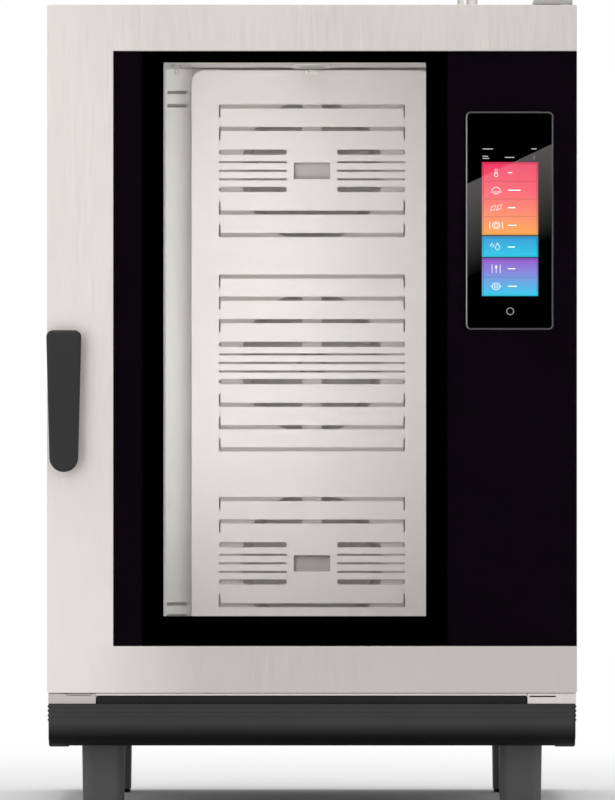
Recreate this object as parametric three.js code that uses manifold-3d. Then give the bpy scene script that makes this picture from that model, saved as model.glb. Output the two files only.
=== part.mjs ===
// A floor-standing combi steamer oven with a full-width glass door, in millimetres.
// +Z is up, the front faces -Y, and the origin is on the floor under the middle of the oven.

import * as THREE from "three";
import { mergeVertices } from "three/addons/utils/BufferGeometryUtils.js";
import Module from "manifold-3d";

const wasm = await Module();
wasm.setup();

// ---------------------------------------------------------------- driving dimensions

const WIDTH = 760;
const DEPTH = 960; // from the handle's front to the ends of the rear fittings
const GAP = 0.3; // between pieces that touch
const SHEET = 2; // steel sheet

const HALF_WIDTH = WIDTH / 2;
const FRONT = -DEPTH / 2; // the handle's front
const BACK = DEPTH / 2; // the ends of the rear fittings

// The door.
const DOOR_BOTTOM = 168;
const DOOR_TOP = 1155;
const DOOR_THICK = 52;
const HANDLE_REACH = 52; // how far the handle stands in front of the door
const DOOR_FRONT = FRONT + HANDLE_REACH;
const DOOR_BACK = DOOR_FRONT + DOOR_THICK;
const STRIP_LEFT = 95; // width of the steel strip left of the glass
const STRIP_TOP = 66.5;
const STRIP_BOTTOM = 67;
const GLASS_THICK = 5;
const GLASS_LEFT = -HALF_WIDTH + STRIP_LEFT;
const GLASS_BOTTOM = DOOR_BOTTOM + STRIP_BOTTOM;
const GLASS_TOP = DOOR_TOP - STRIP_TOP;
const HINGE_X = 362;
const HINGE_Y = DOOR_FRONT + 18;
const HINGE_PIN_R = 5;
const LINER_OPENING = { x: [-224, 224], z: [262, 1077] };

// The touch screen in the glass.
const SCREEN_X = [222, 345];
const SCREEN_Z = [690, 1000.6];
const DISPLAY_X = [240, 328];
const DISPLAY_Z = [732, 934];
const TOUCH_GLASS_THICK = 2.5;

// The handle, and the cup that its latch cam goes into.
const HANDLE = { x: -355, z: 665, top: 688, bottom: 485, topHalf: 25, bottomHalf: 20.6, thick: 26 };
const SPINDLE_R = 6;
const KEEPER = { x: [-375.6, -334.6], z: [644, 686], depth: 24 };

// The casing.
const SEAL_GAP = 8; // from the door's back to the casing's face
const BODY_FRONT = DOOR_BACK + SEAL_GAP;
const BODY_BACK = BACK - 23;
const BODY_TOP = 1150;
const BODY_BOTTOM = 100;
const SILL = 0.8; // from the door's bottom edge down to what is under it
const SILL_THICK = 3.2;

// The cooking space.
const CAVITY_HALF = 235;
const CAVITY_FLOOR = 184.7;
const CAVITY_CEILING = 1084.3;
const CAVITY_BACK = 325;
const BLANKET = 34; // insulation thickness
const WALL_Y = [BODY_FRONT + SHEET + GAP, CAVITY_BACK - GAP]; // the inner walls' depth
const SUMP = { radius: 62, lowRadius: 44, depth: 12 };
const RACK_SLOT_Z = [264, 282, 1029.4, 1049.4];
const LAMP = { x: [-30, 30], y: [60, 235], border: 7, trim: 1.2, height: 12 };

// The fans and their cover.
const FAN_Z = { upper: 930.3, middle: 643.3, lower: 344 };
const INLET_R = 106;
const WHEEL_R = 98;
const WHEEL_FRONT = 276;
const WHEEL_DEPTH = 38;
const MOTOR_FRONT = CAVITY_BACK + SHEET + BLANKET + 3;
const SHAFT_END = MOTOR_FRONT + 62;
const TERMINAL = { x: 112, z: 40 }; // from a fan's centre to its element's terminals
const STEAM = { x: 158, y: 300, inletZ: 490, radius: 5 };
const COVER_FRONT = 247;
const COVER_HALF = 180;
const COVER_Z = [195.7, 1078.6];
const COVER_CORNER = 19;
const COVER_FLANGE = 14;
const COVER_HINGE = [-160, 255];
const INTAKE_FRONT = 268;
const INTAKE_HALF = 137;

// The tray under the door, the legs and the feet.
const TRAY_Z = [91.5, 151.5];
const TRAY_BACK = BODY_FRONT - 2;
const TRAY_WALL = 2.5;
const TRAY_HALF = HALF_WIDTH - 1;
const LEG_X = 301;
const LEG_Y = { front: -300, rear: 330 };
const LEG_TOP_WIDTH = 62;
const LEG_BOTTOM_WIDTH = 58;
const FOOT_THICK = 5;
const RAIL_Z = TRAY_Z[0] - 0.5; // the top of the ledges that the tray's tongues lie on
const RAIL_BACK = -190;
const TONGUE_X = [350, 373];
const BRACKET_Y = [DOOR_FRONT + 4, BODY_FRONT - GAP];
const BRACKET_Z = [TRAY_Z[1] + GAP, DOOR_BOTTOM - SILL];
const REST_BRACKET_X = [-378, -310];
const HINGE_BRACKET_X = [309.2, 379];

// The vent on the roof and the fittings at the back.
const VENT = { x: 230, y: 100, outer: 15, inner: 13, top: 1200, offset: 30 };
const COOLER = { x: 300, z: 950, radius: 52, hub: 20, depth: 24, ringDepth: 30 };
const DRAIN = { y: -20, z: 130, outer: 20, inner: 17 };
const GLAND = { x: -250, z: 150, hole: 10, bore: 5 };
const WATER = { x: 150, z: 150, hole: 9, bore: 8 };

// ---------------------------------------------------------------- solids

// A closed three.js geometry as a solid that can be joined and cut.
function solid(geometry) {
  const plain = geometry.index ? geometry.toNonIndexed() : geometry.clone();
  plain.deleteAttribute("normal");
  plain.deleteAttribute("uv");
  const merged = mergeVertices(plain, 1e-4);
  const vertProperties = merged.getAttribute("position").array;
  const triVerts = new Uint32Array(merged.index.array);
  return new wasm.Manifold(new wasm.Mesh({ numProp: 3, vertProperties, triVerts }));
}

function join(...shapes) {
  return shapes.reduce((whole, shape) => whole.add(shape));
}

function cut(shape, ...tools) {
  return tools.reduce((rest, tool) => rest.subtract(tool), shape);
}

// A box from three [low, high] spans.
function block(x, y, z) {
  const geometry = new THREE.BoxGeometry(x[1] - x[0], y[1] - y[0], z[1] - z[0]);
  geometry.translate((x[0] + x[1]) / 2, (y[0] + y[1]) / 2, (z[0] + z[1]) / 2);
  return solid(geometry);
}

// A round bar along an axis ("x", "y" or "z") over a [low, high] span of it. The centre gives
// the other two coordinates, in the order x, y, z.
function bar(axis, span, centre, radius, sides = 20, endRadius = radius) {
  const geometry = new THREE.CylinderGeometry(endRadius, radius, span[1] - span[0], sides);
  const middle = (span[0] + span[1]) / 2;
  if (axis === "x") {
    geometry.rotateZ(-Math.PI / 2);
    geometry.translate(middle, centre[0], centre[1]);
  } else if (axis === "y") {
    geometry.translate(centre[0], middle, centre[1]);
  } else {
    geometry.rotateX(Math.PI / 2);
    geometry.translate(centre[0], centre[1], middle);
  }
  return solid(geometry);
}

// An outline in X and Z, given a thickness along Y.
function frontPlate(outline, y, curveSegments = 2) {
  const options = { depth: y[1] - y[0], bevelEnabled: false, curveSegments };
  const geometry = new THREE.ExtrudeGeometry(outline, options);
  geometry.rotateX(Math.PI / 2);
  geometry.translate(0, y[1], 0);
  return solid(geometry);
}

// An outline in Y and Z, given a length along X.
function sideProfile(outline, x, curveSegments = 4) {
  const options = { depth: x[1] - x[0], bevelEnabled: false, curveSegments };
  const geometry = new THREE.ExtrudeGeometry(outline, options);
  const [alongX, alongY, alongZ] = [0, 1, 2].map((i) => new THREE.Vector3().setComponent(i, 1));
  geometry.applyMatrix4(new THREE.Matrix4().makeBasis(alongY, alongZ, alongX));
  geometry.translate(x[0], 0, 0);
  return solid(geometry);
}

// A round bar bent along a smooth curve through the points. A full circle gets two sides for each
// curve segment.
function bentBar(points, radius, steps, sides = 10) {
  const section = new THREE.Shape();
  section.absarc(0, 0, radius, 0, 2 * Math.PI);
  const extrudePath = new THREE.CatmullRomCurve3(
    points.map((p) => new THREE.Vector3(...p)),
    false,
    "centripetal",
  );
  const options = { extrudePath, steps, curveSegments: sides / 2 };
  return solid(new THREE.ExtrudeGeometry(section, options));
}

function polygon(points) {
  return new THREE.Shape(points.map(([a, b]) => new THREE.Vector2(a, b)));
}

function roundedRect(x, z, radius) {
  const shape = new THREE.Shape();
  const [left, right, low, high] = [x[0] + radius, x[1] - radius, z[0] + radius, z[1] - radius];
  const quarter = Math.PI / 2;
  shape.absarc(right, high, radius, 0, quarter);
  shape.absarc(left, high, radius, quarter, 2 * quarter);
  shape.absarc(left, low, radius, 2 * quarter, 3 * quarter);
  shape.absarc(right, low, radius, 3 * quarter, 4 * quarter);
  shape.closePath();
  return shape;
}

function bothSides(make) {
  return join(make(-1), make(1));
}

function mirrored(side, near, far) {
  return side > 0 ? [near, far] : [-far, -near];
}

// ---------------------------------------------------------------- materials

function finish(color, roughness, metalness) {
  return () => new THREE.MeshStandardMaterial({ color, roughness, metalness });
}

const steel = finish(0xdad6d1, 0.38, 0.9);
const darkSteel = finish(0x8d8a86, 0.5, 0.9);
const blackGlass = finish(0x0c080e, 0.05, 0);
const clearGlass = finish(0xdfe6e4, 0.03, 0);
const blackPlastic = finish(0x1a1a1a, 0.45, 0);
const greyPlastic = finish(0x3a3a3a, 0.5, 0);
const legPlastic = finish(0x4e4e4e, 0.5, 0);
const rubber = finish(0x161616, 0.8, 0);
const screenGlass = finish(0x2a4f9a, 0.2, 0);
const wool = finish(0xd8c98f, 0.95, 0);
const brass = finish(0xb08d57, 0.35, 1);

// ---------------------------------------------------------------- assembly

const oven = new THREE.Group();
const door = new THREE.Group();
oven.add(door);

// Turns a solid into a named mesh of a group.
function piece(group, name, shape, material) {
  const { vertProperties, triVerts } = shape.getMesh();
  const geometry = new THREE.BufferGeometry();
  geometry.setAttribute("position", new THREE.BufferAttribute(vertProperties.slice(), 3));
  geometry.setIndex(new THREE.BufferAttribute(triVerts.slice(), 1));
  geometry.computeVertexNormals();
  const mesh = new THREE.Mesh(geometry, material());
  mesh.name = name;
  group.add(mesh);
}

function groupAt(parent, x, y, z) {
  const group = new THREE.Group();
  group.position.set(x, y, z);
  parent.add(group);
  return group;
}

// ---------------------------------------------------------------- the door

// A folded steel ring. The glass lies in a seat in its front, flush with the strips on the left, at
// the top and at the bottom, and reaches the right edge. The back is open, for the liner.
function doorFrame() {
  const back = DOOR_BACK - SHEET - GAP;
  const inside = [-HALF_WIDTH + SHEET, HALF_WIDTH - SHEET];
  const insideZ = [DOOR_BOTTOM + SHEET, DOOR_TOP - SHEET];
  const seatBack = DOOR_FRONT + GLASS_THICK + GAP;
  const opening = { x: [GLASS_LEFT + 15, HALF_WIDTH - 30], z: [GLASS_BOTTOM + 15, GLASS_TOP - 8] };
  const outline = roundedRect([-HALF_WIDTH, HALF_WIDTH], [DOOR_BOTTOM, DOOR_TOP], 3);
  const tools = [
    block(opening.x, [DOOR_FRONT - 1, back + 1], opening.z),
    block(
      [GLASS_LEFT - GAP, HALF_WIDTH + 1],
      [DOOR_FRONT - 1, seatBack],
      [GLASS_BOTTOM - GAP, GLASS_TOP + GAP],
    ),
  ];
  // The hollow behind the strips, and the shallower one behind the seat.
  const hollow = [DOOR_FRONT + SHEET, back + 1];
  const seatHollow = [seatBack + SHEET, back + 1];
  const wallLeft = GLASS_LEFT - SHEET - GAP;
  tools.push(block([inside[0], wallLeft], hollow, insideZ));
  tools.push(block(inside, hollow, [GLASS_TOP + SHEET + GAP, insideZ[1]]));
  tools.push(block(inside, hollow, [insideZ[0], GLASS_BOTTOM - SHEET - GAP]));
  tools.push(block([wallLeft - 1, opening.x[0] - SHEET], seatHollow, insideZ));
  tools.push(block([opening.x[1] + SHEET, inside[1]], seatHollow, insideZ));
  tools.push(block([wallLeft, inside[1]], seatHollow, [opening.z[1] + SHEET, GLASS_TOP + 4]));
  tools.push(block([wallLeft, inside[1]], seatHollow, [GLASS_BOTTOM - 4, opening.z[0] - SHEET]));
  // Bearing holes for the hinge pins, and the handle's hole.
  const pinHole = [HINGE_X, HINGE_Y];
  tools.push(bar("z", [DOOR_BOTTOM - 1, DOOR_TOP + 1], pinHole, HINGE_PIN_R + 0.4));
  tools.push(bar("y", [DOOR_FRONT - 1, DOOR_FRONT + 3], [HANDLE.x, HANDLE.z], SPINDLE_R + 1));
  return cut(frontPlate(outline, [DOOR_FRONT, back]), ...tools);
}

// The pane in the front, with an opening for the screen.
function outerGlass() {
  const pane = block(
    [GLASS_LEFT, HALF_WIDTH],
    [DOOR_FRONT, DOOR_FRONT + GLASS_THICK],
    [GLASS_BOTTOM, GLASS_TOP],
  );
  const edge = 0.7;
  const opening = roundedRect(
    [SCREEN_X[0] - edge, SCREEN_X[1] + edge],
    [SCREEN_Z[0] - edge, SCREEN_Z[1] + edge],
    6 + edge,
  );
  return cut(pane, frontPlate(opening, [DOOR_FRONT - 1, DOOR_FRONT + GLASS_THICK + 1]));
}

function touchGlass() {
  const outline = roundedRect(SCREEN_X, SCREEN_Z, 6);
  return frontPlate(outline, [DOOR_FRONT, DOOR_FRONT + TOUCH_GLASS_THICK]);
}

function displayPanel() {
  const front = DOOR_FRONT + TOUCH_GLASS_THICK + GAP;
  return block(DISPLAY_X, [front, front + 5], DISPLAY_Z);
}

// The screen's housing, with a pocket for the display, a rib behind it and a plug at the bottom.
function screenHousing() {
  const front = DOOR_FRONT + TOUCH_GLASS_THICK + GAP;
  const x = [SCREEN_X[0] + 2, SCREEN_X[1] - 2];
  const z = [SCREEN_Z[0] + 2, SCREEN_Z[1] - 2];
  const slack = 0.5;
  const pocket = block(
    [DISPLAY_X[0] - slack, DISPLAY_X[1] + slack],
    [front - 1, front + 5.5],
    [DISPLAY_Z[0] - slack, DISPLAY_Z[1] + slack],
  );
  const body = cut(frontPlate(roundedRect(x, z, 5), [front, front + 22]), pocket);
  const plug = block([265, 302], [front + 21, front + 30], [z[0] + 8, z[0] + 30]);
  return join(body, plug);
}

// The sheet that closes the door's back, round the opening of the inner glass.
function doorLiner() {
  const y = [DOOR_BACK - SHEET, DOOR_BACK];
  const outline = roundedRect([-HALF_WIDTH, HALF_WIDTH], [DOOR_BOTTOM, DOOR_TOP], 3);
  outline.holes.push(roundedRect(LINER_OPENING.x, LINER_OPENING.z, 8));
  const spindleHole = bar("y", [y[0] - 1, y[1] + 1], [HANDLE.x, HANDLE.z], SPINDLE_R + 1);
  return cut(frontPlate(outline, y), spindleHole);
}

function innerGlass() {
  const over = 8;
  const x = [LINER_OPENING.x[0] - over, LINER_OPENING.x[1] + over];
  const z = [LINER_OPENING.z[0] - over, LINER_OPENING.z[1] + over];
  return frontPlate(roundedRect(x, z, 10), [DOOR_BACK + GAP, DOOR_BACK + GAP + 4]);
}

// ---------------------------------------------------------------- the handle and its latch

// A bar that hangs from a boss on the spindle and narrows to a round end. It's drawn round the
// spindle's axis: x and z are measured from it, y is the oven's.
function handleGrip() {
  const top = HANDLE.top - HANDLE.z;
  const end = HANDLE.bottom - HANDLE.z + HANDLE.bottomHalf;
  const corner = 9;
  const outline = new THREE.Shape();
  outline.absarc(0, end, HANDLE.bottomHalf, Math.PI, 2 * Math.PI);
  outline.absarc(HANDLE.topHalf - corner, top - corner, corner, 0, Math.PI / 2);
  outline.absarc(corner - HANDLE.topHalf, top - corner, corner, Math.PI / 2, Math.PI);
  outline.closePath();
  const bevel = 4;
  const options = {
    depth: HANDLE.thick - 2 * bevel,
    bevelSize: bevel,
    bevelThickness: bevel,
    bevelOffset: -bevel,
    bevelSegments: 2,
    curveSegments: 4,
  };
  const geometry = new THREE.ExtrudeGeometry(outline, options);
  geometry.rotateX(Math.PI / 2);
  geometry.translate(0, FRONT + HANDLE.thick - bevel, 0);
  const boss = bar("y", [FRONT + HANDLE.thick - 2, DOOR_FRONT - GAP], [0, 0], 21);
  return join(solid(geometry), boss);
}

function handleSpindle() {
  const shaft = bar("y", [DOOR_FRONT, DOOR_BACK + 3.7], [0, 0], SPINDLE_R, 16);
  return join(shaft, bar("y", [DOOR_FRONT + 6, DOOR_FRONT + 12], [0, 0], 12, 16));
}

// The hook behind the door that goes into the keeper.
function latchCam() {
  const outline = new THREE.Shape();
  outline.absarc(0, 0, 11, 0, Math.PI);
  outline.absarc(-4, -10, 7, Math.PI, 1.6 * Math.PI);
  outline.lineTo(11, -6);
  outline.closePath();
  return frontPlate(outline, [DOOR_BACK + 4, DOOR_BACK + 24]);
}

// The cup behind the casing's face that the latch cam goes into.
function latchKeeper() {
  const wall = 1.6;
  const front = BODY_FRONT + SHEET + GAP;
  const outside = block(
    [KEEPER.x[0] - wall, KEEPER.x[1] + wall],
    [front, front + KEEPER.depth],
    [KEEPER.z[0] - wall, KEEPER.z[1] + wall],
  );
  return cut(outside, block(KEEPER.x, [front - 1, front + KEEPER.depth - wall], KEEPER.z));
}

// ---------------------------------------------------------------- the casing

// The sheet round the oven's mouth, with a sill that runs forward under the door.
function frontFrame() {
  const y = [BODY_FRONT, BODY_FRONT + SHEET];
  const outline = roundedRect([-HALF_WIDTH, HALF_WIDTH], [DOOR_BOTTOM, BODY_TOP], 2);
  const mouth = roundedRect([-CAVITY_HALF, CAVITY_HALF], [CAVITY_FLOOR, CAVITY_CEILING], 6);
  outline.holes.push(mouth);
  const face = cut(frontPlate(outline, y), block(KEEPER.x, [y[0] - 1, y[1] + 1], KEEPER.z));
  const sillX = [REST_BRACKET_X[1] + GAP, HINGE_BRACKET_X[0] - GAP];
  const sillTop = DOOR_BOTTOM - SILL;
  const sill = block(sillX, [DOOR_FRONT + 5, y[1]], [sillTop - SILL_THICK, sillTop]);
  return join(face, sill, block(sillX, y, [sillTop - SILL_THICK, DOOR_BOTTOM + 1]));
}

function doorGasket() {
  const width = 12;
  const inner = { x: CAVITY_HALF + 4, z: [CAVITY_FLOOR - 2.7, CAVITY_CEILING + 3.7] };
  const outer = { x: inner.x + width, z: [inner.z[0] - width, inner.z[1] + width] };
  const outline = roundedRect([-outer.x, outer.x], outer.z, 18);
  outline.holes.push(roundedRect([-inner.x, inner.x], inner.z, 8));
  return frontPlate(outline, [DOOR_BACK + 0.4, BODY_FRONT - GAP]);
}

// A side sheet, with a block of cooling slots low down at the back.
function sidePanel(side) {
  const x = mirrored(side, HALF_WIDTH - SHEET, HALF_WIDTH);
  const y = [BODY_FRONT + SHEET + GAP, BODY_BACK];
  const panel = block(x, y, [BODY_BOTTOM, BODY_TOP - SHEET - GAP]);
  const slot = { y: [270, 400], low: 190, height: 5, pitch: 18, count: 6 };
  const slots = [];
  for (let row = 0; row < slot.count; row += 1) {
    const low = slot.low + slot.pitch * row;
    slots.push(block([x[0] - 1, x[1] + 1], slot.y, [low, low + slot.height]));
  }
  return cut(panel, ...slots);
}

function topCover() {
  const sheet = block(
    [-HALF_WIDTH, HALF_WIDTH],
    [BODY_FRONT + SHEET + GAP, BODY_BACK],
    [BODY_TOP - SHEET, BODY_TOP],
  );
  return cut(sheet, bar("z", [BODY_TOP - 3, BODY_TOP + 1], [VENT.x, VENT.y], VENT.outer + 1));
}

// The back sheet, with louvre slots behind the motors, holes for the fittings, and the cooling
// fan's ring with three arms that hold its bearing.
function rearPanel() {
  const x = [-HALF_WIDTH + SHEET + GAP, HALF_WIDTH - SHEET - GAP];
  const y = [BODY_BACK - SHEET, BODY_BACK];
  const through = [y[0] - 1, y[1] + 1];
  const louvre = { low: 330, height: 8, pitch: 30, count: 6 };
  const tools = [];
  for (const column of [-1, 1]) {
    for (let row = 0; row < louvre.count; row += 1) {
      const low = louvre.low + louvre.pitch * row;
      tools.push(block(mirrored(column, 60, 260), through, [low, low + louvre.height]));
    }
  }
  const centre = [COOLER.x, COOLER.z];
  const ringInner = COOLER.radius + 4;
  tools.push(bar("y", through, centre, ringInner, 20));
  tools.push(bar("y", through, [0, DRAIN.z], DRAIN.outer + 1, 16));
  tools.push(bar("y", through, [GLAND.x, GLAND.z], GLAND.hole, 16));
  tools.push(bar("y", through, [WATER.x, WATER.z], WATER.hole, 16));
  const sheet = cut(block(x, y, [BODY_BOTTOM, BODY_TOP - SHEET - GAP]), ...tools);
  const ring = cut(
    bar("y", [y[0] - COOLER.ringDepth, y[0] + 0.5], centre, ringInner + 3, 20),
    bar("y", [y[0] - COOLER.ringDepth - 1, y[1]], centre, ringInner, 20),
  );
  const arms = [90, 210, 330].map((angle) => {
    const arm = new THREE.BoxGeometry(ringInner + 1, SHEET, 8);
    arm.translate((ringInner + 1) / 2, 0, 0);
    arm.rotateY(THREE.MathUtils.degToRad(-angle));
    arm.translate(COOLER.x, BODY_BACK - SHEET / 2, COOLER.z);
    return solid(arm);
  });
  return join(sheet, ring, bar("y", y, centre, COOLER.hub), ...arms);
}

// The casing's floor and its low front wall, with the two rails that the tray's tongues slide on.
function baseChassis() {
  const wall = 2.5;
  const x = HALF_WIDTH - SHEET - GAP;
  const y = [BODY_FRONT + SHEET, BODY_BACK - SHEET - GAP];
  const z = [BODY_BOTTOM, CAVITY_FLOOR - 20];
  const floor = block([-x, x], y, [z[0], z[0] + wall]);
  const front = block([-x, x], [y[0], y[0] + wall], z);
  const railY = [y[0] + 2, RAIL_BACK];
  const rail = (side) => {
    const web = block(mirrored(side, x - 3, x), railY, [RAIL_Z - SHEET, z[0] + 1]);
    const ledge = block(mirrored(side, TONGUE_X[0], x), railY, [RAIL_Z - SHEET, RAIL_Z]);
    return join(web, ledge);
  };
  return join(floor, front, bothSides(rail));
}

// The dark strip between the brackets, which sheds water into the tray.
function frontLip() {
  const x = [REST_BRACKET_X[1] + GAP, HINGE_BRACKET_X[0] - GAP];
  const y = [DOOR_FRONT + 8, BODY_FRONT - GAP];
  const z = [TRAY_Z[1] + GAP, DOOR_BOTTOM - SILL - SILL_THICK - GAP];
  const slope = 2;
  const outline = polygon([
    [y[0], z[0]],
    [y[1], z[0]],
    [y[1], z[1]],
    [y[0] + slope, z[1]],
    [y[0], z[1] - slope],
  ]);
  return sideProfile(outline, x);
}

// Carries the closed door's free edge, with a ramped notch in its top.
function doorRestBracket() {
  const body = block(REST_BRACKET_X, BRACKET_Y, BRACKET_Z);
  const top = BRACKET_Z[1];
  const notch = { x: [REST_BRACKET_X[0] + 22, REST_BRACKET_X[1] - 2.5], depth: 3, ramp: 6, back: 4 };
  const outline = polygon([
    [notch.x[0], top + 1],
    [notch.x[1], top + 1],
    [notch.x[1] - notch.ramp, top - notch.depth],
    [notch.x[0] + notch.ramp, top - notch.depth],
  ]);
  return cut(body, frontPlate(outline, [BRACKET_Y[0] - 1, BRACKET_Y[0] + notch.back]));
}

function bottomHingeBracket() {
  const body = block(HINGE_BRACKET_X, BRACKET_Y, BRACKET_Z);
  const top = BRACKET_Z[1];
  const slotX = [HINGE_BRACKET_X[0] + 2.8, HINGE_X - 12];
  const slot = block(slotX, [BRACKET_Y[0] - 1, BRACKET_Y[1] - 10], [top - 5.2, top - 3.7]);
  const pin = bar("z", [top - 5, top + 22], [HINGE_X, HINGE_Y], HINGE_PIN_R, 16);
  return join(cut(body, slot), pin);
}

// A stepped plate on the roof, with the upper pin and two screws.
function topHingeBracket() {
  const x = [318, 374];
  const underArm = DOOR_TOP + 1.3;
  const top = underArm + 6;
  const foot = block(x, [BODY_FRONT + 6, BODY_FRONT + 62], [BODY_TOP + GAP, top]);
  const arm = block(x, [DOOR_FRONT + 4, BODY_FRONT + 7], [underArm, top]);
  const pin = bar("z", [DOOR_TOP - 22, underArm + 1], [HINGE_X, HINGE_Y], HINGE_PIN_R, 16);
  const cap = bar("z", [top - 1, top + 4], [HINGE_X, HINGE_Y], 9, 6);
  const screws = [332, 358].map((at) => bar("z", [top - 1, top + 5], [at, BODY_FRONT + 36], 8, 6));
  return join(foot, arm, pin, cap, ...screws);
}

// ---------------------------------------------------------------- the cooking space

// A side wall with four studs for a lift-out rack.
function cavitySideWall(side) {
  const x = mirrored(side, CAVITY_HALF, CAVITY_HALF + SHEET);
  const wall = block(x, WALL_Y, [CAVITY_FLOOR + GAP, CAVITY_CEILING - GAP]);
  const studs = [];
  for (const y of [-240, 180]) {
    for (const z of [270, 1010]) {
      const span = mirrored(side, CAVITY_HALF - 12, CAVITY_HALF + 1);
      studs.push(bar("x", span, [y, z], 5, 12));
    }
  }
  return join(wall, ...studs);
}

function cavityCeiling() {
  const sheet = block(
    [-CAVITY_HALF - SHEET, CAVITY_HALF + SHEET],
    WALL_Y,
    [CAVITY_CEILING, CAVITY_CEILING + SHEET],
  );
  const through = [CAVITY_CEILING - 1, CAVITY_CEILING + SHEET + 1];
  const { x, y, border } = LAMP;
  const lampHole = block([x[0] + border, x[1] - border], [y[0] + border, y[1] - border], through);
  const ventHole = bar("z", through, [VENT.x - VENT.offset, VENT.y], VENT.inner - 1, 12);
  return cut(sheet, lampHole, ventHole);
}

// The floor falls to a round sump with the drain's hole in the middle.
function cavityFloor() {
  const sheet = block(
    [-CAVITY_HALF - SHEET, CAVITY_HALF + SHEET],
    WALL_Y,
    [CAVITY_FLOOR - SHEET, CAVITY_FLOOR],
  );
  const { radius, lowRadius } = SUMP;
  const low = CAVITY_FLOOR - SUMP.depth;
  const centre = [0, DRAIN.y];
  const outside = bar("z", [low - SHEET, CAVITY_FLOOR - 0.5], centre, lowRadius, 20, radius);
  const inside = bar("z", [low, CAVITY_FLOOR + 1], centre, lowRadius - 4, 20, radius - 3);
  const drainHole = bar("z", [low - 5, low + 5], centre, DRAIN.inner);
  return cut(join(sheet, outside), inside, drainHole);
}

// The back wall, with slots that a rack hooks into, and holes for shafts and terminals.
function cavityBackWall() {
  const y = [CAVITY_BACK, CAVITY_BACK + SHEET];
  const through = [y[0] - 1, y[1] + 1];
  const half = CAVITY_HALF + SHEET;
  const z = [CAVITY_FLOOR - SHEET, CAVITY_CEILING + SHEET];
  const tools = [];
  for (const side of [-1, 1])
    for (const slotZ of RACK_SLOT_Z)
      tools.push(block(mirrored(side, 188, 217), through, [slotZ - 2.5, slotZ + 2.5]));
  for (const fanZ of Object.values(FAN_Z)) {
    tools.push(bar("y", through, [0, fanZ], 11, 16));
    for (const side of [-1, 1])
      tools.push(bar("y", through, [TERMINAL.x, fanZ + side * TERMINAL.z], 6.5, 8));
  }
  tools.push(bar("y", through, [STEAM.x, STEAM.inletZ], 6.5, 12));
  return cut(block([-half, half], y, z), ...tools);
}

// A lamp let into the ceiling, with a thin trim that the fan cover clears, and a raised lens.
function ceilingLamp() {
  const top = CAVITY_CEILING - GAP;
  const inset = (span, by) => [span[0] + by, span[1] - by];
  const level = (from, to, by) => block(inset(LAMP.x, by), inset(LAMP.y, by), [from, to]);
  const trim = level(top - LAMP.trim, top, 0);
  const body = level(top - 0.5, top + LAMP.height, LAMP.border + 0.5);
  const lens = level(top - 2 * LAMP.trim, top - LAMP.trim + 0.5, LAMP.border + 2);
  return join(trim, body, lens);
}

// A thin loop that hangs from the ceiling.
function cavityProbe() {
  const top = CAVITY_CEILING - GAP;
  const x = -201;
  const y = 120;
  const reach = 13;
  const half = 2.2;
  const loop = bentBar(
    [
      [x - half, y, top],
      [x - half, y, top - reach + half],
      [x, y, top - reach],
      [x + half, y, top - reach + half],
      [x + half, y, top],
    ],
    1.2,
    10,
    6,
  );
  return join(loop, bar("z", [top - 1.5, top], [x, y], 8, 16));
}

// A dished strainer that stands in the sump.
function drainStrainer() {
  const low = CAVITY_FLOOR - SUMP.depth + GAP;
  const thick = 3;
  const disc = bar("z", [low, low + thick], [0, DRAIN.y], 30, 20);
  const slot = { half: 13, width: 3, pitch: 7 };
  const slots = [];
  for (let row = -2; row <= 2; row += 1) {
    const y = DRAIN.y + slot.pitch * row;
    const span = [y - slot.width / 2, y + slot.width / 2];
    slots.push(block([-slot.half, slot.half], span, [low - 1, low + thick + 1]));
  }
  return cut(disc, ...slots);
}

// Down from the sump, round a square elbow and back to the outlet behind the oven.
function drainPipe() {
  const top = CAVITY_FLOOR - SUMP.depth - SHEET - GAP;
  const { y, z, outer, inner } = DRAIN;
  const down = bar("z", [z, top], [0, y], outer, 16);
  const along = bar("y", [y - outer, BACK], [0, z], outer, 16);
  const boreDown = bar("z", [z, top + 1], [0, y], inner, 16);
  const boreAlong = bar("y", [y - inner, BACK + 1], [0, z], inner, 16);
  return cut(join(down, along), boreDown, boreAlong);
}

// Wool round the cooking space, open at the front, with holes for what passes through it.
function insulationBlanket() {
  const inner = { x: CAVITY_HALF + SHEET + 1, z: [CAVITY_FLOOR - 2.8, CAVITY_CEILING + 2.8] };
  const front = BODY_FRONT + SHEET + 1;
  const wallBack = CAVITY_BACK + SHEET + 1;
  const outside = block(
    [-inner.x - BLANKET, inner.x + BLANKET],
    [front, wallBack + BLANKET],
    [inner.z[0] - 15, inner.z[1] + BLANKET],
  );
  const tools = [block([-inner.x, inner.x], [front - 1, wallBack], inner.z)];
  const through = [wallBack - 2, wallBack + BLANKET + 2];
  for (const fanZ of Object.values(FAN_Z)) {
    tools.push(block([-13, 13], through, [fanZ - 13, fanZ + 13]));
    tools.push(
      block([TERMINAL.x - 8, TERMINAL.x + 8], through, [fanZ - TERMINAL.z - 8, fanZ + TERMINAL.z + 8]),
    );
  }
  tools.push(block([STEAM.x - 8, STEAM.x + 8], through, [STEAM.inletZ - 8, STEAM.inletZ + 8]));
  tools.push(block([-70, 70], [DRAIN.y - 70, DRAIN.y + 70], [inner.z[0] - 20, inner.z[0] + 1]));
  const above = inner.z[1] - 1;
  const ventX = [VENT.x - VENT.offset - 22, VENT.x + 20];
  tools.push(block(ventX, [VENT.y - 20, VENT.y + 20], [above, above + BLANKET + 2]));
  const lampY = [LAMP.y[0] + 4, LAMP.y[1] - 4];
  tools.push(block([LAMP.x[0] + 4, LAMP.x[1] - 4], lampY, [above, above + LAMP.height]));
  return cut(outside, ...tools);
}

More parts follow.
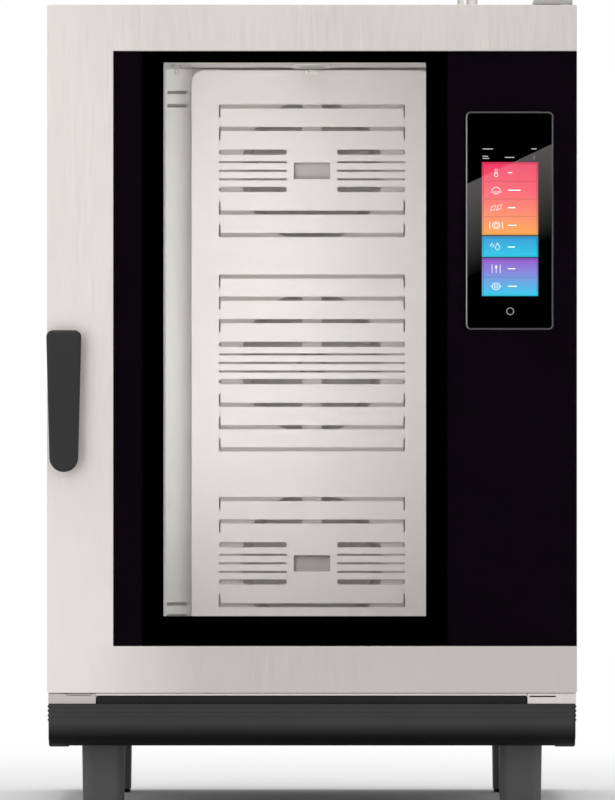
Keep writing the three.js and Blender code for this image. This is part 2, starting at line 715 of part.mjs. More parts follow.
// A box on the ceiling that leads sideways to a round pipe through the roof.
function ventChimney() {
  const bottom = CAVITY_CEILING + SHEET + GAP;
  const boxTop = BODY_TOP - SHEET - 4;
  const wall = VENT.outer - VENT.inner;
  const x = [VENT.x - VENT.offset - 18, VENT.x + VENT.outer];
  const y = [VENT.y - VENT.outer, VENT.y + VENT.outer];
  const box = block(x, y, [bottom, boxTop]);
  const hollow = block(
    [x[0] + wall, x[1] - wall],
    [y[0] + wall, y[1] - wall],
    [bottom + wall, boxTop - wall],
  );
  const pipe = bar("z", [boxTop - 1, VENT.top], [VENT.x, VENT.y], VENT.outer, 20);
  const collar = bar("z", [BODY_TOP + GAP, BODY_TOP + 3], [VENT.x, VENT.y], 26, 20);
  const bore = bar("z", [boxTop - 5, VENT.top + 1], [VENT.x, VENT.y], VENT.inner, 20);
  const inletX = VENT.x - VENT.offset;
  const inlet = bar("z", [bottom - 1, bottom + 5], [inletX, VENT.y], VENT.inner - 1, 12);
  return cut(join(box, pipe, collar), hollow, bore, inlet);
}

// ---------------------------------------------------------------- the fans

// One motor, round its shaft's axis, with a round flange and a bore for the shaft.
function fanMotor() {
  const front = MOTOR_FRONT;
  const flange = bar("y", [front, front + 5], [0, 0], 62, 24);
  const body = bar("y", [front + 4, front + 78], [0, 0], 52, 24);
  const bore = bar("y", [front - 1, SHAFT_END + 4], [0, 0], 8, 12);
  return cut(join(flange, body), bore);
}

// A wheel with leaning blades on a back disc, and a nut on its shaft's end.
function fanWheel() {
  const back = WHEEL_FRONT + WHEEL_DEPTH;
  const bladeCount = 14;
  const blade = { from: 56, to: WHEEL_R, thick: 1.6, lean: 28 };
  const disc = bar("y", [back - 2.5, back], [0, 0], WHEEL_R - 2, 24);
  const blades = [];
  for (let i = 0; i < bladeCount; i += 1) {
    const length = blade.to - blade.from;
    const depth = WHEEL_DEPTH - 1;
    const geometry = new THREE.BoxGeometry(length, depth, blade.thick);
    geometry.rotateY(THREE.MathUtils.degToRad(blade.lean));
    geometry.translate((blade.from + blade.to) / 2 - 3, WHEEL_FRONT + depth / 2, 0);
    geometry.rotateY((2 * Math.PI * i) / bladeCount);
    blades.push(solid(geometry));
  }
  const hub = bar("y", [back - 16, back + 4], [0, 0], 17, 12);
  const shaft = bar("y", [back - 1, SHAFT_END], [0, 0], 7, 12);
  const nut = bar("y", [back - 26, back - 15], [0, 0], 12, 6);
  return join(disc, hub, shaft, nut, ...blades);
}

// A heating element: two turns round the wheel and two terminals through the back wall.
function heatingElement() {
  const ringR = Math.hypot(TERMINAL.x, TERMINAL.z);
  const tubeR = 4.5;
  const turns = [288, 302].map((y) => {
    const geometry = new THREE.TorusGeometry(ringR + 8, tubeR, 4, 20);
    geometry.rotateX(Math.PI / 2);
    geometry.translate(0, y, 0);
    return solid(geometry);
  });
  const terminals = [-1, 1].map((side) => {
    const foot = bentBar(
      [
        [TERMINAL.x + 8, 288, side * (TERMINAL.z + 4)],
        [TERMINAL.x + 7, 304, side * (TERMINAL.z + 3)],
        [TERMINAL.x, 318, side * TERMINAL.z],
        [TERMINAL.x, 352, side * TERMINAL.z],
      ],
      tubeR,
      4,
      6,
    );
    return foot;
  });
  return join(...turns, ...terminals);
}

// The plate between the cover and the wheels, on posts from the back wall, with a round inlet for
// each fan. A strip crosses the inlets above the hubs, and below the middle one too. Two arms carry
// the pins that the cover swings on.
function intakePlate() {
  const y = [INTAKE_FRONT, INTAKE_FRONT + SHEET];
  const z = [COVER_Z[0] - 3, COVER_Z[1] + 2.9];
  const through = [y[0] - 1, y[1] + 1];
  const inlets = Object.values(FAN_Z).map((at) => bar("y", through, [0, at], INLET_R, 24));
  const sheet = cut(block([-INTAKE_HALF, INTAKE_HALF], y, z), ...inlets);
  const strip = (from, to) => block([-15, 15], y, [from, to]);
  const strips = Object.values(FAN_Z).map((at) => strip(at + 18, at + INLET_R + 4));
  strips.push(strip(FAN_Z.middle - INLET_R - 4, FAN_Z.middle - 18));
  const hubPlates = [FAN_Z.upper, FAN_Z.lower].map((at) => block([-34, 34], y, [at - 16, at + 20]));
  const posts = [];
  for (const side of [-1, 1]) {
    for (const at of [212, 493, 787, 1062]) {
      posts.push(bar("y", [y[0] + 1, CAVITY_BACK - GAP], [side * 124, at], 6, 8));
    }
  }
  const arms = [];
  for (const [armZ, pinZ] of [
    [[z[1] - SHEET, z[1]], [COVER_Z[1] - 6, z[1] - 1]],
    [[z[0], z[0] + SHEET], [z[0] + 1, COVER_Z[0] + 6]],
  ]) {
    arms.push(block([COVER_HINGE[0] - 6, -INTAKE_HALF + 4], [COVER_HINGE[1] - 6, y[1]], armZ));
    arms.push(bar("z", pinZ, COVER_HINGE, 3, 12));
  }
  return join(sheet, ...strips, ...hubPlates, ...posts, ...arms);
}

// One row of the cover's slots, as spans in X. Rows beside a hub plate are split round it.
function slotSpans(split) {
  const end = 138.7;
  const inner = 37.7;
  return split ? [[-end, -inner], [inner, end]] : [[-end, end]];
}

// Slots for one fan: long ones with hooked ends above and below, straight ones by the hub.
function fanSlots(fanZ, hookedRows, split) {
  const through = [COVER_FRONT - 1, COVER_FRONT + SHEET + 1];
  const slot = (x, z, height) => block(x, through, [z - height / 2, z + height / 2]);
  const tools = [];
  for (const side of [-1, 1]) {
    for (const row of hookedRows) {
      const z = fanZ + side * row;
      const [[left, right]] = slotSpans(false);
      const hook = side > 0 ? [z - 16.4, z] : [z, z + 16.4];
      tools.push(
        join(
          slot([left, right], z, 5.7),
          block([left, left + 2.2], through, hook),
          block([right - 2.2, right], through, hook),
        ),
      );
    }
  }
  const straightRows = [
    [-27.8, 7.5],
    [-12.8, 2.8],
    [0, 2.8],
    [12.8, 2.8],
    [27.8, 7.5],
  ];
  for (const [row, height] of straightRows)
    for (const span of slotSpans(split)) tools.push(slot(span, fanZ + row, height));
  if (split) tools.push(slot([-27, 27], fanZ, 24.2));
  return tools;
}

// The cover over the fans: a sheet with a turned-back flange all round.
function fanCover() {
  const outline = (inset) =>
    roundedRect(
      [-COVER_HALF + inset, COVER_HALF - inset],
      [COVER_Z[0] + inset, COVER_Z[1] - inset],
      COVER_CORNER - inset,
    );
  const back = COVER_FRONT + COVER_FLANGE;
  const tray = cut(
    frontPlate(outline(0), [COVER_FRONT, back]),
    frontPlate(outline(1.5), [COVER_FRONT + SHEET, back + 1]),
    bar("z", [COVER_Z[0] - 1, COVER_Z[0] + 4], COVER_HINGE, 3.4, 12),
    bar("z", [COVER_Z[1] - 4, COVER_Z[1] + 1], COVER_HINGE, 3.4, 12),
  );
  return cut(
    tray,
    ...fanSlots(FAN_Z.upper, [62.5, 96], true),
    ...fanSlots(FAN_Z.middle, [62.5, 96, 129], false),
    ...fanSlots(FAN_Z.lower, [62.5, 96], true),
  );
}

// A clip with two oval heads at the top of the cover.
function coverFastener() {
  const y = [COVER_FRONT - 4, COVER_FRONT - GAP];
  const z = [COVER_Z[1] - 4, COVER_Z[1] + 2.5];
  const plate = block([-12.5, 12.5], [y[1] - 1.5, y[1]], z);
  const heads = [-1, 1].map((side) => bar("y", y, [side * 6.5, z[1] - 3], 2.4, 12));
  return join(plate, ...heads);
}

// The pipe that feeds water to the three wheels, with a spout for each.
function steamPipe() {
  const z = [FAN_Z.lower - 8, FAN_Z.upper + 8];
  const riser = bar("z", z, [STEAM.x, STEAM.y], STEAM.radius, 12);
  const spouts = Object.values(FAN_Z).map((at) =>
    bar("x", [STEAM.x - 16, STEAM.x], [STEAM.y - 4, at], 2.5, 8),
  );
  const inlet = bar("y", [STEAM.y, 356], [STEAM.x, STEAM.inletZ], STEAM.radius, 12);
  return join(riser, inlet, ...spouts);
}

// ---------------------------------------------------------------- the tray, legs and feet

// A trough with a front that curves under, ribbed ends and two tongues for the rails.
function dripTray() {
  const [low, high] = TRAY_Z;
  const section = (inset, top) => {
    const front = DOOR_FRONT + inset;
    const back = TRAY_BACK - inset;
    const curve = 32 - inset;
    const outline = new THREE.Shape();
    outline.moveTo(back, top);
    outline.lineTo(front, top);
    outline.absarc(front + curve, low + inset + curve, curve, Math.PI, 1.5 * Math.PI);
    outline.lineTo(back, low + inset);
    outline.closePath();
    return outline;
  };
  const outside = sideProfile(section(0, high), [-TRAY_HALF, TRAY_HALF], 8);
  const end = TRAY_HALF - TRAY_WALL;
  const hollow = sideProfile(section(TRAY_WALL, high + 1), [-end, end], 8);
  const tongue = (side) =>
    block(mirrored(side, ...TONGUE_X), [TRAY_BACK - 1, RAIL_BACK - 10], [low, low + 4]);
  return join(cut(outside, hollow), bothSides(tongue));
}

// A square leg with cut corners that narrows downwards, round its own axis, with a bore for the
// foot's stem.
function leg() {
  const low = FOOT_THICK + GAP;
  const high = BODY_BOTTOM - GAP;
  const cornered = (width) => {
    const half = width / 2;
    const corner = 11;
    return [
      [half, corner - half],
      [half, half - corner],
      [half - corner, half],
      [corner - half, half],
      [-half, half - corner],
      [-half, corner - half],
      [corner - half, -half],
      [half - corner, -half],
    ];
  };
  const options = { depth: 1, bevelEnabled: false };
  const geometry = new THREE.ExtrudeGeometry(polygon(cornered(LEG_TOP_WIDTH)), options);
  const position = geometry.getAttribute("position");
  const taper = LEG_BOTTOM_WIDTH / LEG_TOP_WIDTH;
  for (let i = 0; i < position.count; i += 1) {
    const atTop = position.getZ(i) > 0.5;
    const scale = atTop ? 1 : taper;
    position.setXYZ(
      i,
      position.getX(i) * scale,
      position.getY(i) * scale,
      atTop ? high : low,
    );
  }
  return cut(solid(geometry), bar("z", [low - 1, 60], [0, 0], 9, 16));
}

function foot() {
  const pad = bar("z", [0, FOOT_THICK], [0, 0], 29, 24);
  return join(pad, bar("z", [FOOT_THICK - 1, 55], [0, 0], 8, 16));
}

// ---------------------------------------------------------------- fittings

// The butterfly in the vent, round its axle.
function ventDamper() {
  const disc = bar("z", [-0.8, 0.8], [0, 0], VENT.inner - 0.8, 20);
  return join(disc, bar("x", [0.6 - VENT.inner, VENT.inner - 0.6], [0, 0], 1.6, 8));
}

// The electronics' box between the insulation and the right side sheet, with a raised lid.
function controlBox() {
  const [x, y, z] = [[284, 368], [-330, 60], [420, 900]];
  const edge = 8;
  const lidY = [y[0] + edge, y[1] - edge];
  const lid = block([x[0] - SHEET, x[0] + 1], lidY, [z[0] + edge, z[1] - edge]);
  return join(block(x, y, z), lid);
}

// The cooling fan's rotor, round its axis: a hub with leaning blades.
function coolingFanRotor() {
  const y = [-COOLER.depth / 2, COOLER.depth / 2];
  const hub = bar("y", y, [0, 0], COOLER.hub, 16);
  const blades = [];
  const count = 5;
  for (let i = 0; i < count; i += 1) {
    const length = COOLER.radius - 17;
    const geometry = new THREE.BoxGeometry(length, 2, 26);
    geometry.rotateX(THREE.MathUtils.degToRad(38));
    geometry.translate(17 + length / 2, 0, 0);
    geometry.rotateY((2 * Math.PI * i) / count);
    blades.push(solid(geometry));
  }
  return join(hub, ...blades);
}

// The supply cable's gland. The cable isn't part of the oven.
function cableGland() {
  const back = BODY_BACK + GAP;
  const centre = [GLAND.x, GLAND.z];
  const body = join(
    bar("y", [back - 14, back + 1], centre, GLAND.hole - 1, 20),
    bar("y", [back, back + 8], centre, 15, 6),
    bar("y", [back + 7, BACK], centre, 13, 6, 10),
  );
  return cut(body, bar("y", [back - 15, BACK + 1], centre, GLAND.bore, 16));
}

function waterInlet() {
  const back = BODY_BACK + GAP;
  const centre = [WATER.x, WATER.z];
  const body = join(
    bar("y", [back - 14, back + 1], centre, WATER.hole - 1, 20),
    bar("y", [back, back + 6], centre, 14, 6),
    bar("y", [back + 5, BACK], centre, 12, 20),
  );
  return cut(body, bar("y", [back + 2, BACK + 1], centre, WATER.bore, 16));
}

// ---------------------------------------------------------------- putting it together

piece(oven, "front_frame", frontFrame(), steel);
piece(oven, "door_gasket", doorGasket(), rubber);
piece(oven, "side_panel_left", sidePanel(-1), steel);
piece(oven, "side_panel_right", sidePanel(1), steel);
piece(oven, "top_cover", topCover(), steel);
piece(oven, "rear_panel", rearPanel(), steel);
piece(oven, "base_chassis", baseChassis(), darkSteel);
piece(oven, "front_lip", frontLip(), blackPlastic);
piece(oven, "door_rest_bracket", doorRestBracket(), steel);
piece(oven, "top_hinge_bracket", topHingeBracket(), steel);
piece(oven, "bottom_hinge_bracket", bottomHingeBracket(), steel);
piece(oven, "latch_keeper", latchKeeper(), darkSteel);

piece(oven, "cavity_left_wall", cavitySideWall(-1), steel);
piece(oven, "cavity_right_wall", cavitySideWall(1), steel);
piece(oven, "cavity_ceiling", cavityCeiling(), steel);
piece(oven, "cavity_floor", cavityFloor(), steel);
piece(oven, "cavity_back_wall", cavityBackWall(), steel);
piece(oven, "ceiling_lamp", ceilingLamp(), clearGlass);
piece(oven, "cavity_probe", cavityProbe(), steel);
piece(oven, "drain_strainer", drainStrainer(), steel);
piece(oven, "drain_pipe", drainPipe(), greyPlastic);
piece(oven, "insulation_blanket", insulationBlanket(), wool);
piece(oven, "vent_chimney", ventChimney(), steel);
piece(oven, "intake_plate", intakePlate(), steel);
piece(oven, "steam_pipe", steamPipe(), steel);
piece(oven, "control_box", controlBox(), darkSteel);
piece(oven, "cable_gland", cableGland(), blackPlastic);
piece(oven, "water_inlet", waterInlet(), brass);

for (const [level, z] of Object.entries(FAN_Z)) {
  const fan = groupAt(oven, 0, 0, z);
  piece(fan, `fan_motor_${level}`, fanMotor(), darkSteel);
  piece(fan, `heating_element_${level}`, heatingElement(), darkSteel);
  piece(fan, `fan_wheel_${level}`, fanWheel(), steel);
}
piece(oven, "fan_cover", fanCover(), steel);
piece(oven, "cover_fastener", coverFastener(), darkSteel);

const damper = groupAt(oven, VENT.x, VENT.y, VENT.top - 18);
piece(damper, "vent_damper", ventDamper(), steel);
const cooler = groupAt(oven, COOLER.x, BODY_BACK - SHEET - COOLER.ringDepth / 2, COOLER.z);
piece(cooler, "cooling_fan_rotor", coolingFanRotor(), blackPlastic);

piece(door, "door_frame", doorFrame(), steel);
piece(door, "outer_glass", outerGlass(), blackGlass);
piece(door, "touch_glass", touchGlass(), blackGlass);
piece(door, "display_panel", displayPanel(), screenGlass);
piece(door, "screen_housing", screenHousing(), blackPlastic);
piece(door, "door_liner", doorLiner(), steel);
piece(door, "inner_glass", innerGlass(), clearGlass);
const handle = groupAt(door, HANDLE.x, 0, HANDLE.z);
piece(handle, "handle_grip", handleGrip(), greyPlastic);
piece(handle, "handle_spindle", handleSpindle(), darkSteel);
piece(handle, "latch_cam", latchCam(), darkSteel);

piece(oven, "drip_tray", dripTray(), greyPlastic);
for (const [end, y] of Object.entries(LEG_Y)) {
  for (const [sideName, side] of [["left", -1], ["right", 1]]) {
    const corner = groupAt(oven, side * LEG_X, y, 0);
    piece(corner, `leg_${end}_${sideName}`, leg(), legPlastic);
    piece(corner, `foot_${end}_${sideName}`, foot(), rubber);
  }
}

export default oven;
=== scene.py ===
"""The looks of a floor-standing combi steamer oven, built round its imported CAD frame, in metres."""

import math

import bmesh
import bpy
from mathutils import Matrix, Vector


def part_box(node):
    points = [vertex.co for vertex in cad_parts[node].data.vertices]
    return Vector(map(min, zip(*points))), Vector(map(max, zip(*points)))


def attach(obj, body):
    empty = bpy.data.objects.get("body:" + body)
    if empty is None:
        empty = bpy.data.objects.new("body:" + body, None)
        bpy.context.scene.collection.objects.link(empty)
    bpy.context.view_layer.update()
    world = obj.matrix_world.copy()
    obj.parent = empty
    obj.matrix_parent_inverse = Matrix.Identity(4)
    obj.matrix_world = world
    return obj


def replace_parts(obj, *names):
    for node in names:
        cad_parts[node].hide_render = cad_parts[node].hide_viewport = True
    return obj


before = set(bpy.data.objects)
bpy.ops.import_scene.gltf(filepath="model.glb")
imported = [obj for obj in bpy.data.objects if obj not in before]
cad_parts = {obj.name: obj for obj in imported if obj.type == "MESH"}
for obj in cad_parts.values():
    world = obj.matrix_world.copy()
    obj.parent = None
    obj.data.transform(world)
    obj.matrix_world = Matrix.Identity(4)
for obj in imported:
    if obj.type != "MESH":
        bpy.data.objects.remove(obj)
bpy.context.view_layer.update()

# ---------------------------------------------------------------- places, from the frame


def spans(node):
    """A CAD node's X, Y and Z spans."""
    low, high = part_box(node)
    return [(low[i], high[i]) for i in range(3)]


def middle(span):
    return (span[0] + span[1]) / 2


def inset(span, by):
    return (span[0] + by, span[1] - by)


def around(at, half):
    return (at - half, at + half)


def spaced(span, margin, count):
    """Evenly spaced places along a span, with a margin at both ends."""
    step = (span[1] - span[0] - 2 * margin) / (count - 1)
    return [span[0] + margin + i * step for i in range(count)]


def mm(*points):
    """Points given in millimetres."""
    return [(a / 1000, b / 1000) for a, b in points]


DOOR_X, DOOR_Y, DOOR_Z = spans("door_frame")
GLASS_X, GLASS_Y, GLASS_Z = spans("outer_glass")
SCREEN_X, SCREEN_Y, SCREEN_Z = spans("touch_glass")
DISPLAY_X, DISPLAY_Y, DISPLAY_Z = spans("display_panel")
INNER_X, INNER_Y, INNER_Z = spans("inner_glass")
CASE_BACK = spans("rear_panel")[1][1]
CASE_TOP = spans("top_cover")[2][1]
FANS = {level: middle(spans(f"fan_wheel_{level}")[2]) for level in ("upper", "middle", "lower")}
WINDOW_X = (GLASS_X[0] + 0.072, SCREEN_X[0] - 0.0585)
WINDOW_Z = (GLASS_Z[0] + 0.043, GLASS_Z[1] - 0.0165)
INTAKE_FRONT = 0.268
DISPLAY_INNER_X = inset(DISPLAY_X, 0.0036)
TILE_Z = (DISPLAY_Z[0] + 0.0051, DISPLAY_Z[1] - 0.0047)
SHEET = 0.002

# ---------------------------------------------------------------- shapes

# How a flat drawing lies in the frame: which axes it's drawn in, and its thickness along the third.
PLANES = {
    "front": Matrix(((1, 0, 0, 0), (0, 0, -1, 0), (0, 1, 0, 0), (0, 0, 0, 1))),
    "side": Matrix(((0, 0, 1, 0), (1, 0, 0, 0), (0, 1, 0, 0), (0, 0, 0, 1))),
    "top": Matrix.Identity(4),
}
AXES = {"x": Vector((1, 0, 0)), "y": Vector((0, 1, 0)), "z": Vector((0, 0, 1))}


def arc(centre, radius, start, end, steps):
    """Points on an arc in a flat drawing, from one angle to another, in degrees."""
    angles = [math.radians(start + (end - start) * i / steps) for i in range(steps + 1)]
    return [(centre[0] + radius * math.cos(a), centre[1] + radius * math.sin(a)) for a in angles]


def circle(centre, radius, steps=48):
    return arc(centre, radius, 0, 360, steps)[:-1]


def turns(low, high):
    """The middles of a rectangle's four corner arcs, with the angle at which each arc starts."""
    return [(low[1], high[1], 0), (low[0], high[1], 90), (low[0], high[0], 180), (low[1], high[0], 270)]


def rounded_rect(x, z, radius, steps=6):
    low, high = inset(x, radius), inset(z, radius)
    corners = turns(low, high)
    return [p for cx, cz, start in corners for p in arc((cx, cz), radius, start, start + 90, steps)]


def rounded(points, radius, steps=4):
    """A polygon with each corner cut by a smooth curve."""
    made = []
    for i, corner in enumerate(points):
        here = Vector(corner)
        sides = [Vector(points[i - 1]) - here, Vector(points[(i + 1) % len(points)]) - here]
        start, end = (here + side.normalized() * min(radius, side.length / 2) for side in sides)
        for j in range(steps + 1):
            t = j / steps
            made.append(tuple((1 - t) ** 2 * start + 2 * t * (1 - t) * here + t * t * end))
    return made


def turned(points, anticlockwise):
    area = sum(a[0] * b[1] - b[0] * a[1] for a, b in zip(points, points[1:] + points[:1]))
    return points if (area > 0) == anticlockwise else points[::-1]


def settle(thing, **settings):
    """Sets a Blender thing's values, and gives it back."""
    for key, value in settings.items():
        setattr(thing, key, value)
    return thing


def show(name, data):
    """Puts a mesh, curve, light or camera into the scene."""
    shown = bpy.data.objects.new(name, data)
    bpy.context.scene.collection.objects.link(shown)
    return shown


def plate(bm, plane, outline, holes, span, bevel=0.0004, rounds=2):
    """A sheet with holes through it, its edges softened by a bevel."""
    curve = bpy.data.curves.new("plate", "CURVE")
    settle(curve, dimensions="2D", fill_mode="BOTH", extrude=(span[1] - span[0]) / 2 - bevel)
    settle(curve, bevel_depth=bevel, bevel_resolution=rounds, offset=-bevel)
    for points in [turned(outline, True)] + [turned(hole, False) for hole in holes]:
        spline = curve.splines.new("POLY")
        spline.points.add(len(points) - 1)
        for made, (u, v) in zip(spline.points, points):
            made.co = (u, v, 0, 1)
        spline.use_cyclic_u = True
    shown = show("plate", curve)
    mesh = bpy.data.meshes.new_from_object(shown.evaluated_get(bpy.context.evaluated_depsgraph_get()))
    bpy.data.objects.remove(shown)
    bpy.data.curves.remove(curve)
    mesh.transform(PLANES[plane])
    along = {"front": AXES["y"], "side": AXES["x"], "top": AXES["z"]}[plane]
    mesh.transform(Matrix.Translation(along * middle(span)))
    part = bmesh.new()
    part.from_mesh(mesh)
    bpy.data.meshes.remove(mesh)
    bmesh.ops.remove_doubles(part, verts=part.verts, dist=1e-6)
    bmesh.ops.dissolve_limit(part, angle_limit=math.radians(0.5), verts=part.verts, edges=part.edges)
    absorb(bm, part)


def panel(bm, plane, x, z, corner, span, bevel, holes=(), steps=6):
    """A sheet with rounded corners."""
    plate(bm, plane, rounded_rect(x, z, corner, steps), list(holes), span, bevel)


def absorb(bm, part):
    mesh = bpy.data.meshes.new("part")
    part.to_mesh(mesh)
    part.free()
    bm.from_mesh(mesh)
    bpy.data.meshes.remove(mesh)


def block(bm, x, y, z, bevel=0.0005, rounds=2):
    """A box from three spans, with rounded edges."""
    part = bmesh.new()
    size = Matrix.Diagonal([s[1] - s[0] for s in (x, y, z)]).to_4x4()
    place = Matrix.Translation([middle(s) for s in (x, y, z)])
    bmesh.ops.create_cube(part, size=1, matrix=place @ size)
    bmesh.ops.bevel(part, geom=part.edges[:], offset=bevel, segments=rounds, profile=0.5, affect="EDGES")
    absorb(bm, part)


def loft(bm, rings, closed=False):
    """One skin over rings that have the same number of points, capped at its ends unless it's closed."""
    made = [[bm.verts.new(p) for p in ring] for ring in rings]
    pairs = list(zip(made, made[1:] + made[:1])) if closed else list(zip(made, made[1:]))
    for near, far in pairs:
        for i in range(len(near)):
            j = (i + 1) % len(near)
            bm.faces.new((near[i], near[j], far[j], far[i]))
    if not closed:
        bm.faces.new(made[0][::-1])
        bm.faces.new(made[-1])


def ring(axis, centre, radius, along, count=48, corners=0):
    """Points round an axis. The centre gives the other two coordinates. With corners, the points lie
    on a regular polygon instead of a circle."""
    points = []
    for i in range(count):
        angle = 2 * math.pi * i / count
        reach = radius
        if corners:
            part = 2 * math.pi / corners
            reach = radius * math.cos(part / 2) / math.cos(angle % part - part / 2)
        u, v = centre[0] + reach * math.cos(angle), centre[1] + reach * math.sin(angle)
        points.append({"x": (along, u, v), "y": (u, along, v), "z": (u, v, along)}[axis])
    return points


def lathe(bm, axis, centre, profile, count=48, base=0.0, closed=False, corners=0):
    """A turned piece from (radius, place along the axis after the base) pairs."""
    rings = [ring(axis, centre, radius, base + along, count, corners) for radius, along in profile]
    loft(bm, rings, closed)


def tube(bm, points, radius, count=10, closed=False):
    """A round bar along a line of points."""
    line = [Vector(p) for p in points]
    rings, normal = [], None
    for i, here in enumerate(line):
        before = line[i - 1] if i or closed else here
        after = line[(i + 1) % len(line)] if i < len(line) - 1 or closed else here
        tangent = (after - before).normalized()
        normal = tangent.orthogonal() if normal is None else normal - tangent * normal.dot(tangent)
        normal.normalize()
        other = tangent.cross(normal)
        angles = [2 * math.pi * k / count for k in range(count)]
        rings.append([here + radius * (math.cos(a) * normal + math.sin(a) * other) for a in angles])
    loft(bm, rings, closed)


def curved(points, steps=8):
    """A smooth line through points."""
    line = [Vector(p) for p in points]
    line = [2 * line[0] - line[1]] + line + [2 * line[-1] - line[-2]]
    made = []
    for a, b, c, d in zip(line, line[1:], line[2:], line[3:]):
        for i in range(steps):
            t = i / steps
            bend = (2 * a - 5 * b + 4 * c - d) * t**2 + (3 * b - a - 3 * c + d) * t**3
            made.append(0.5 * (2 * b + (c - a) * t + bend))
    return made + [line[-2]]


def screw(bm, axis, centre, base, radius, out=1):
    """A domed screw head with a hexagon socket, standing on a surface."""
    count = 24
    dome = [(1.0, 0.0), (1.0, 0.2), (0.93, 0.38), (0.75, 0.55), (0.52, 0.62)]
    rings = [ring(axis, centre, radius * r, base + out * radius * h, count) for r, h in dome]
    for height in (0.6, 0.25):
        rings.append(ring(axis, centre, radius * 0.46, base + out * radius * height, count, 6))
    loft(bm, rings)


def screws(bm, axis, places, base, radius, out=1):
    for place in places:
        screw(bm, axis, place, base, radius, out)


def add(name, bm, body, finish, smooth=38):
    """Turns a built shape into a piece that rides on a body."""
    bmesh.ops.recalc_face_normals(bm, faces=bm.faces)
    mesh = bpy.data.meshes.new(name)
    bm.to_mesh(mesh)
    bm.free()
    mesh.materials.append(FINISH[finish])
    mesh.shade_smooth()
    mesh.set_sharp_from_angle(angle=math.radians(smooth))
    piece = show(name, mesh)
    even = piece.modifiers.new("even", "WEIGHTED_NORMAL")
    settle(even, mode="FACE_AREA", weight=85, keep_sharp=True)
    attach(piece, body)
    return piece


def make(name, bm, body, finish, node, smooth=38):
    """A piece that also takes the CAD node's place."""
    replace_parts(add(name, bm, body, finish, smooth), node)


def dress(node, finish, bevel=0.0005):
    """Keeps a CAD node, with its flat faces whole, its edges softened and a new material."""
    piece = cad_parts[node]
    piece.data.materials.clear()
    piece.data.materials.append(FINISH[finish])
    settle(piece.modifiers.new("weld", "WELD"), merge_threshold=1e-5)
    whole = piece.modifiers.new("whole", "DECIMATE")
    settle(whole, decimate_type="DISSOLVE", angle_limit=math.radians(1))
    soft = piece.modifiers.new("soft", "BEVEL")
    settle(soft, width=bevel, segments=2, limit_method="ANGLE", angle_limit=math.radians(32))
    settle(piece.modifiers.new("even", "WEIGHTED_NORMAL"), keep_sharp=False)


# ---------------------------------------------------------------- materials

FINISH = {}  # each material by its name


def rgb(red, green, blue):
    """A colour from its 0 to 255 screen values."""
    linear = [(c / 255 / 12.92) if c < 11 else ((c / 255 + 0.055) / 1.055) ** 2.4 for c in (red, green, blue)]
    return (*linear, 1.0)


class Shader:
    """The nodes of a new material, or of a world, with short calls to add them."""

    def __init__(self, name, world=None):
        self.name = name
        self.owner = world or bpy.data.materials.new(name)
        self.owner.use_nodes = True
        self.tree = self.owner.node_tree
        self.tree.nodes.clear()
        self.place = self.add("TexCoord").outputs["Generated" if world else "Object"]

    def add(self, kind, inputs=None, **settings):
        node = settle(self.tree.nodes.new("ShaderNode" + kind), **settings)
        for key, value in (inputs or {}).items():
            if isinstance(value, bpy.types.NodeSocket):
                self.tree.links.new(value, node.inputs[key])
            else:
                node.inputs[key].default_value = value
        return node

    def noise(self, scale, stretch=(1, 1, 1), detail=2.0, roughness=0.5):
        """Noise from 0 to 1, with about scale features in a metre, more along a stretched axis."""
        place = self.add("Mapping", {"Vector": self.place, "Scale": stretch}).outputs[0]
        inputs = {"Vector": place, "Scale": scale, "Detail": detail, "Roughness": roughness}
        return self.add("TexNoise", inputs).outputs["Fac"]

    def remap(self, value, from_low, from_high, to_low=0.0, to_high=1.0):
        inputs = {"Value": value, "From Min": from_low, "From Max": from_high}
        inputs.update({"To Min": to_low, "To Max": to_high})
        return self.add("MapRange", inputs).outputs[0]

    def math(self, operation, a, b=0.0):
        return self.add("Math", {0: a, 1: b}, operation=operation).outputs[0]

    def axis(self, name):
        return self.add("SeparateXYZ", {0: self.place}).outputs["XYZ".index(name)]

    def mix(self, share, a, b):
        return self.add("Mix", {0: share, 6: a, 7: b}, data_type="RGBA").outputs[2]

    def bump(self, height, distance, strength=1.0):
        inputs = {"Height": height, "Distance": distance, "Strength": strength}
        return self.add("Bump", inputs).outputs[0]

    def principled(self, **inputs):
        named = {key.replace("_", " "): value for key, value in inputs.items()}
        return self.add("BsdfPrincipled", named).outputs[0]

    def end(self, surface):
        self.add("OutputMaterial", {"Surface": surface})
        FINISH[self.name] = self.owner

    def surface(self, **inputs):
        self.end(self.principled(**inputs))


def tint(colour, by):
    return (*[c * by for c in colour[:3]], 1.0)


def brushed(name, tone, roughness, grain="x", painted_shade_below=None, lift=0.0):
    """Brushed stainless steel, with its grain along an axis of the frame. Below the given edge height the
    steel is painted a shade darker, away from the handle's side: painted shade along the door's low edge. A
    lift is
    painted light: the steel glows faintly in its own tone, for what the studio's lamps hardly reach."""
    s = Shader(name)
    stretch = tuple(0.012 if axis == grain else 1.0 for axis in "xyz")
    streak = s.noise(1400, stretch, 2)
    cloud = s.noise(2.6, detail=3)
    colour = s.mix(s.remap(streak, 0.3, 0.7), tint(tone, 0.955), tone)
    colour = s.mix(s.remap(cloud, 0.35, 0.65, 0, 0.5), colour, tint(tone, 0.97))
    # Painted shade: darker below the edge height, away from the handle's side.
    if painted_shade_below:
        below = s.remap(s.axis("Z"), painted_shade_below + 0.012, painted_shade_below - 0.004)
        away = s.remap(s.axis("X"), -0.33, -0.16)
        colour = s.mix(s.math("MULTIPLY", below, away), colour, tint(tone, 0.75))
    gloss = s.math("ADD", s.remap(streak, 0.3, 0.7, -0.035, 0.035), s.remap(cloud, 0.3, 0.7, -0.02, 0.02))
    s.surface(
        Base_Color=colour,
        Metallic=1.0,
        Roughness=s.math("ADD", gloss, roughness),
        Normal=s.bump(streak, 0.00003, 0.35),
        # Painted light: with a lift the steel glows in its own tone.
        Emission_Color=tint(tone, 1.0),
        Emission_Strength=lift,
    )


